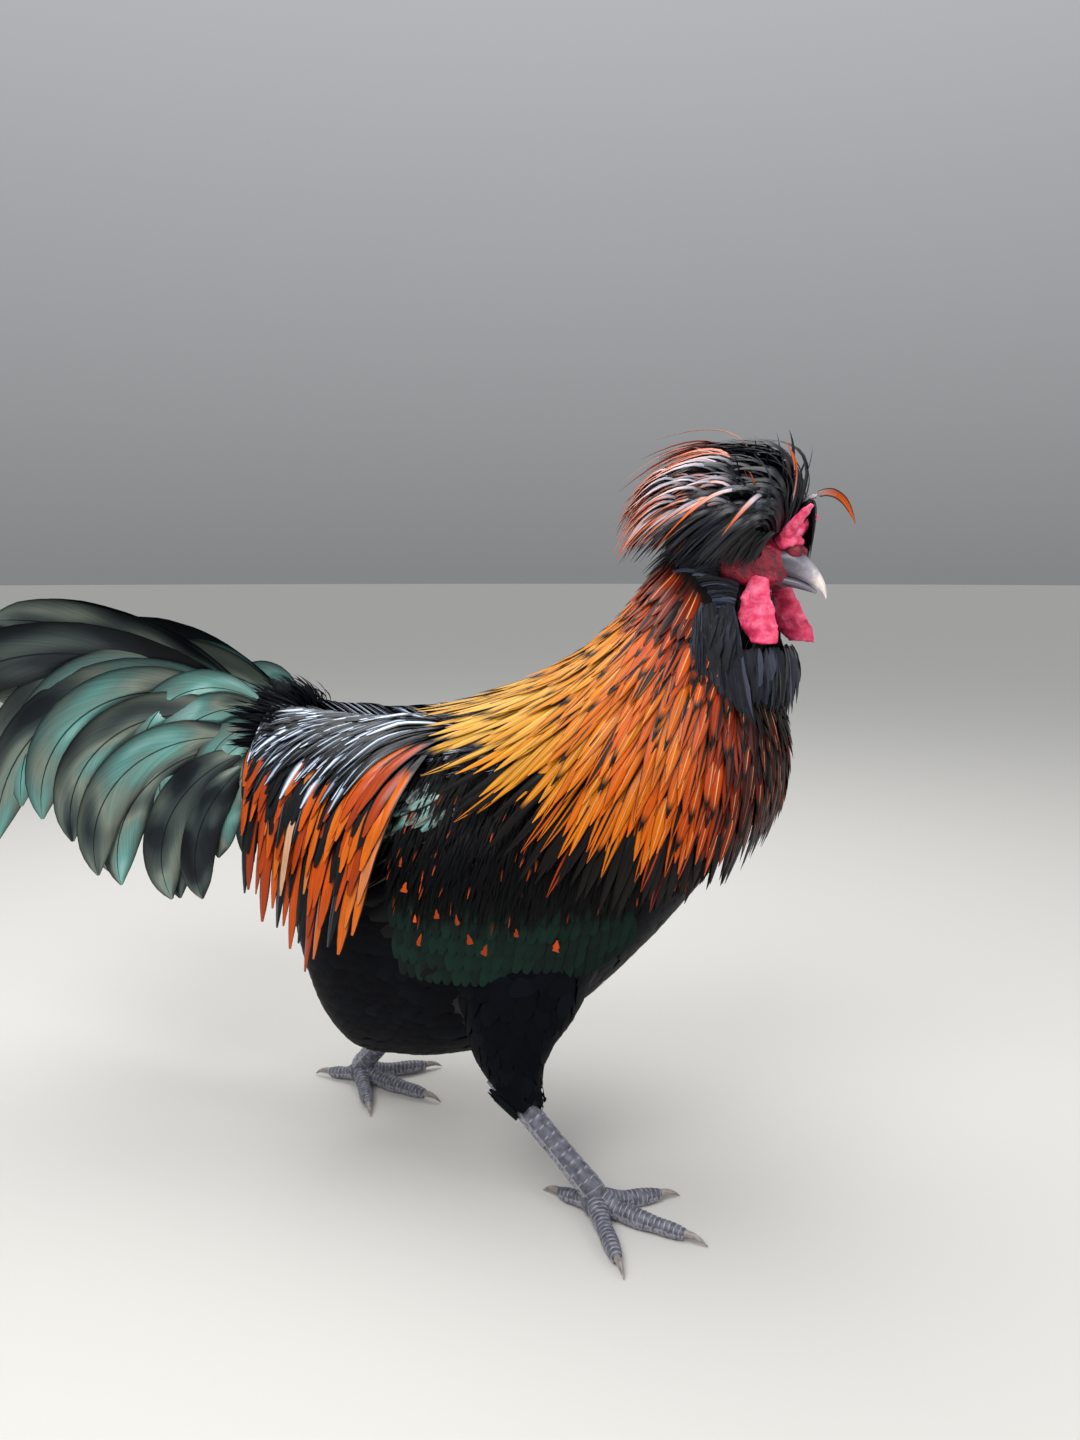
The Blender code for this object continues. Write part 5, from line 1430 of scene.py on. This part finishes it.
# Beard web: downy keratin without hooks, so it is matt and fluffy
beard_web = vane_finish("downy beard feather", (2.2, 12.0, 5.0), 0.5, 0.70, 0.30)
shade = add_node(
    beard_web.material, "ValToRGB", {"Fac": beard_web.tone},
    ((0.0, "#07080E"), (0.6, "#141A28"), (0.88, "#2A3146"), (1.0, "#666D88")),
)
fill(beard_web.shader, {"Base Color": barbed(beard_web, shade, "#707070")})
fill(beard_web.shader, {"Sheen Weight": 0.22, "Sheen Roughness": 0.45})


def lock(points, middle, rows):
    """A spine along the curve of some points, its broad face turned from a middle point."""
    spine = curve(points, rows)
    return spine, [(p - middle).normalized() for p in spine]


def head_lock(points, middle, rows):
    """A lock whose points and middle are given in the head's own frame."""
    return lock([HEAD @ Vector(p) for p in points], HEAD @ Vector(middle), rows)


beard = Feathers(8, 3, LANCE, cup=0.20, ragged=0.22)
draw = random.Random(91)
turned = Matrix.Rotation(math.radians(-15), 3, "Z")
for k in range(BEARD_FEATHERS):
    degrees = draw.uniform(-132, 132)
    high = draw.uniform(-0.80, 0.60)
    if abs(degrees) < 78 and high > -0.16:
        continue  # the chin's own feathers hang here, between the lappets
    turn = math.radians(degrees)
    flat = math.sqrt(1 - high * high)
    behind = float(step_up(abs(degrees), 60, 110))
    ahead = 1 - float(step_up(abs(degrees), 30, 80))
    reach = 0.88 + 0.34 * behind
    d = Vector((flat * math.cos(turn) * reach, flat * math.sin(turn) * reach, high * 0.88))
    root = BEARD_AT + turned @ Vector(a * b for a, b in zip(d, BEARD_CORE))
    out = turned @ Vector((math.cos(turn), math.sin(turn), 0))
    lobe = math.cos(math.radians(5.1 * (degrees + 75)))
    length = 0.031 + 0.004 * (high + lobe + behind) + draw.uniform(-0.006, 0.004)
    bend = root + out * draw.uniform(0.008, 0.014) * (1 - 0.5 * ahead) + Vector((0, 0, -0.30 * length))
    tip = root + out * draw.uniform(0.001, 0.011) * (1 - 0.4 * ahead)
    tip += Vector((-0.006 * draw.random(), 0, -length))
    laid = lock((root, bend, tip), BEARD_AT + Vector((0, 0, 0.01)), 8)
    beard.add(laid, draw.uniform(0.0014, 0.0026), 0.94 * draw.random(), 0, 0, draw.uniform(-35, 35),
              (0.5 + turn / 7, 0.5 + high / 2.2))
for side in (-1, 1):
    for k in range(BIB_FEATHERS):
        # The bib's sides, which flow down from the muffs over the cape's collar
        f, g = draw.random(), draw.random()
        root = Vector((0.046 + 0.022 * f, MID + side * (0.030 - 0.004 * f), 0.362 - 0.022 * g))
        tip = Vector((0.050 + 0.034 * f, MID + side * (0.054 - 0.008 * f), 0.322 - 0.026 * f))
        tip = root.lerp(tip, draw.uniform(0.60, 1.05))
        bend = root.lerp(tip, 0.5) + Vector((-0.002, side * 0.010, 0.002))
        laid = lock((root, bend, tip), Vector((0.060, MID, 0.350)), 8)
        beard.add(laid, draw.uniform(0.0014, 0.0024), 0.94 * draw.random(), 0, 0, draw.uniform(-35, 35),
                  (0.5 + side * (0.45 - 0.2 * f), 0.1 + 0.5 * g))
for k in range(CHIN_FEATHERS):
    # The chin's own feathers, which hang between the two lappets
    root = Vector((draw.uniform(-0.004, 0.018), draw.uniform(-0.007, 0.007), -0.0195))
    tip = root + Vector((draw.uniform(-0.010, 0.002), 0.8 * root.y, -0.026 - 0.030 * draw.random()))
    laid = head_lock((root, root.lerp(tip, 0.5) + Vector((0.005, 0, 0)), tip), (-0.02, 0, -0.03), 8)
    beard.add(laid, draw.uniform(0.0016, 0.0026), 0.8 * draw.random(), 0, 0, draw.uniform(-30, 30),
              (0.5, 0.95))
dress(beard.mesh("beard", 8), beard_web.material, "black_plumage", "beard")

muffs = Feathers(9, 3, HAIR, cup=0.20, ragged=0.15)
for side in (-1, 1):
    for k in range(MUFF_PLUMES):
        f, g = draw.random(), draw.random()
        root = Vector((0.004 - 0.022 * f, side * (0.0150 + 0.003 * f), -0.0160 - 0.0200 * g))
        bend = root + Vector((-0.012, side * draw.uniform(0.006, 0.012), 0.006 - 0.006 * g))
        back, out = 0.024 + 0.012 * draw.random(), side * draw.uniform(0.004, 0.010)
        tip = root + Vector((-back, out, -0.006 - 0.014 * draw.random()))
        laid = head_lock((root, bend, tip), (-0.004, 0, -0.024), 9)
        muffs.add(laid, draw.uniform(0.0006, 0.0012), draw.random() ** 0.6, 0, 0, draw.uniform(-30, 30),
                  (0.5 + side * (0.3 + 0.1 * f), 0.9 * g))
    for k in range(CHEEK_PLUMES):
        # The dark plumes behind the cheek, between the crest and the muff
        f, g = draw.random(), draw.random()
        root = Vector((-0.010 - 0.018 * f, side * (0.0165 - 0.006 * f), 0.004 - 0.020 * g))
        bend = root + Vector((-0.014, side * 0.008, 0.000))
        back, out = 0.024 + 0.008 * draw.random(), side * draw.uniform(0.004, 0.008)
        tip = root + Vector((-back, out, -0.022 - 0.010 * draw.random()))
        laid = head_lock((root, bend, tip), (-0.004, 0, -0.004), 9)
        muffs.add(laid, draw.uniform(0.0010, 0.0018), 0.8 * draw.random(), 0, 0, draw.uniform(-30, 30),
                  (0.5 + side * (0.35 + 0.1 * f), 0.9 * g))
dress(muffs.mesh("muffs", 8), beard_web.material, "black_plumage")

# The crest: a globe of long slim feathers on the crown that fountains up and falls back over the
# nape. Most are black with a grey sheen; many at its rear are streaked with silver and orange.

CREST_FEATHERS = 1000
CREST_MIDDLE = (-0.012, 0, 0.012)
BROW_PLUMES = 260
FAR_SIDE_PLUMES = 150
STREAKED_PLUMES = 190
WISPS = 40
# Single streaked plumes that hang free at the side and the brow: their curve in the head's frame,
# half width, colour's place, and tilt
FREE_PLUMES = (
    (((0.006, -0.012, 0.030), (-0.008, -0.046, 0.052), (-0.040, -0.041, -0.004)), 0.0016, 0.75, 0),
    (((0.006, -0.010, 0.035), (0.014, -0.042, 0.044), (-0.003, -0.041, 0.010)), 0.0018, 0.55, 0),
    (((0.020, 0.008, 0.036), (0.036, 0.014, 0.056), (0.051, 0.014, 0.030)), 0.0030, 1.2, 55),
)

# Crest web: fine satin keratin, blue-black, its palest tones a painted blue-grey sheen; along a
# streaked feather the pigment goes from black through silver and pink to orange at the tip
crest_web = vane_finish("silky crest feather", (2.0, 10.0, 3.0), 0.35, 0.36, 0.45)
made = crest_web.material
# Painted sheen: the palest tones lighten to blue-grey
shade = add_node(
    made, "ValToRGB", {"Fac": crest_web.tone}, ((0.0, "#05060A"), (0.7, "#0D1018"), (1.0, "#343A4A"))
)
reach = add_node(made, "Math", {0: crest_web.along, 1: 1.0, 2: -0.25}, operation="MULTIPLY_ADD")
reach = add_node(made, "Math", {0: crest_web.zone, 1: 0.5, 2: reach}, operation="MULTIPLY_ADD")
pale = add_node(
    made, "ValToRGB", {"Fac": reach},
    ((0.20, "#14161E"), (0.42, "#94929E"), (0.56, "#CDB6BA"), (0.70, "#D88C78"), (0.90, "#D8601E")),
)
inside = add_node(
    made, "Math", {0: crest_web.across, 1: -3.0, 2: 2.6}, operation="MULTIPLY_ADD", use_clamp=True
)
share = add_node(made, "Math", {0: inside, 1: crest_web.streak}, operation="MULTIPLY")
web = add_node(made, "MixRGB", {"Fac": share, "Color1": shade, "Color2": pale})
fill(crest_web.shader, {"Base Color": web})

# The ends of the crest's top and side feathers from the brow (0) to the nape (2)
TOP_ENDS = ((-0.030, 0.060), (-0.068, 0.042), (-0.085, 0.012), (-0.076, -0.012))
SIDE_ENDS = (
    (-0.006, 0.034, -0.008), (-0.036, 0.040, -0.014), (-0.064, 0.032, -0.018), (-0.070, 0.024, -0.024),
)


def crest_feather(u, v, reach, loose):
    """A crest feather's curve in the head's frame: u from side to side, v from brow to nape."""
    root = Vector((0.018 - 0.046 * v, 0.0165 * u, 0.0195 - 0.004 * u * u - 0.006 * v * v))
    out = Vector((0.25 - 0.5 * v, 0.9 * u, 1 - 0.3 * abs(u))).normalized()
    top_x, top_z = along(TOP_ENDS, 2 * v)
    side_x, side_y, side_z = along(SIDE_ENDS, 2 * v)
    tip = Vector((top_x, 0, top_z)).lerp(Vector((side_x, math.copysign(side_y, u), side_z)), abs(u) ** 1.3)
    tip = root.lerp(tip, reach) + Vector((0, loose[0], loose[1]))
    return root, root + out * (0.065 - 0.030 * abs(u)) * reach, tip


crest = Feathers(14, 3, LANCE, cup=0.34, ragged=0.10)
draw = random.Random(101)
for k in range(CREST_FEATHERS):
    u, v = draw.uniform(-1, 1), 1.25 * draw.random()
    loose = (draw.uniform(-0.006, 0.006), draw.uniform(-0.006, 0.006))
    reach = draw.uniform(0.72, 1.04) + (0.14 if k % 9 == 0 else 0.0)
    laid = head_lock(crest_feather(u, v, reach, loose), CREST_MIDDLE, 14)
    pale_one = abs(u) < 0.90 and draw.random() < 0.55 * float(step_up(v, 0.30, 0.80))
    crest.add(laid, draw.uniform(0.0011, 0.0021), draw.random(), draw.random(), 0.9 * pale_one,
              draw.uniform(-24, 24), (0.5 + 0.4 * u, 0.1 + 0.6 * v))
for k in range(BROW_PLUMES):
    # The brow's short plumes, which hang over the eyes
    side, f = draw.choice((-1, 1)), draw.random()
    root = Vector((0.019 - 0.030 * f, side * (0.0085 + 0.0050 * f), 0.0185 - 0.003 * f))
    bend = root + Vector((-0.001, side * 0.012, 0.004))
    back, out = 0.006 + 0.016 * draw.random(), side * draw.uniform(0.008, 0.013)
    tip = root + Vector((-back, out, -0.018 - 0.008 * draw.random()))
    laid = head_lock((root, bend, tip), CREST_MIDDLE, 14)
    crest.add(laid, draw.uniform(0.0012, 0.0020), 0.6 * draw.random(), 0, 0, draw.uniform(-24, 24),
              (0.5 + side * 0.4, 0.1 + 0.2 * f))
for k in range(FAR_SIDE_PLUMES):
    # Plumes that hang beside the comb on its far side and hide that horn
    f = draw.random()
    root = Vector((0.019 - 0.010 * f, 0.003 + 0.008 * f, 0.0210))
    bend = root + Vector((0.010, 0.004 + 0.006 * f, 0.038 - 0.014 * f))
    tip = root + Vector((0.008 + 0.006 * draw.random(), 0.005 + 0.010 * f, -0.006 - 0.014 * draw.random()))
    laid = head_lock((root, bend, tip), CREST_MIDDLE, 14)
    crest.add(laid, draw.uniform(0.0012, 0.0020), 0.6 * draw.random(), 0, 0, draw.uniform(-24, 24),
              (0.95, 0.1 + 0.2 * f))
for k in range(STREAKED_PLUMES):
    # The streaked plumes that lie over the rest, from the crown to the nape
    u, v = draw.uniform(-0.95, 0.80), draw.uniform(0.45, 1.25)
    loose = (draw.uniform(-0.005, 0.005), draw.uniform(-0.004, 0.008))
    points = crest_feather(u, v, draw.uniform(0.90, 1.16), loose)
    laid = head_lock([p * 1.02 for p in points], CREST_MIDDLE, 14)
    crest.add(laid, draw.uniform(0.0011, 0.0019), draw.random(), draw.random(), 0.95,
              draw.uniform(-24, 24), (0.5 + 0.4 * u, 0.1 + 0.6 * v))
for k in range(WISPS):
    # Loose wisps that stand up from the crown
    u, v = draw.uniform(-0.7, 0.7), draw.uniform(0.0, 0.55)
    root, bend, tip = crest_feather(u, v, 1.0, (0, 0))
    bend = root.lerp(bend, draw.uniform(0.45, 0.64))
    tip = bend + (bend - root) * 0.45 + Vector((draw.uniform(-0.026, -0.004), 0.01 * u, -0.004))
    laid = head_lock((root, bend, tip), CREST_MIDDLE, 14)
    crest.add(laid, draw.uniform(0.0011, 0.0019), draw.random(), 1.0, 0.9 if k % 8 == 0 else 0.0,
              draw.uniform(-20, 20), (0.5 + 0.4 * u, 0.1 + 0.6 * v))
for points, half, zone, tilt in FREE_PLUMES:
    crest.add(head_lock(points, CREST_MIDDLE, 14), half, 0.5, zone, 1.0, tilt, (0.1, 0.1))
dress(crest.mesh("crest_feathers", 9), crest_web.material, "crest_plumage", "crest")
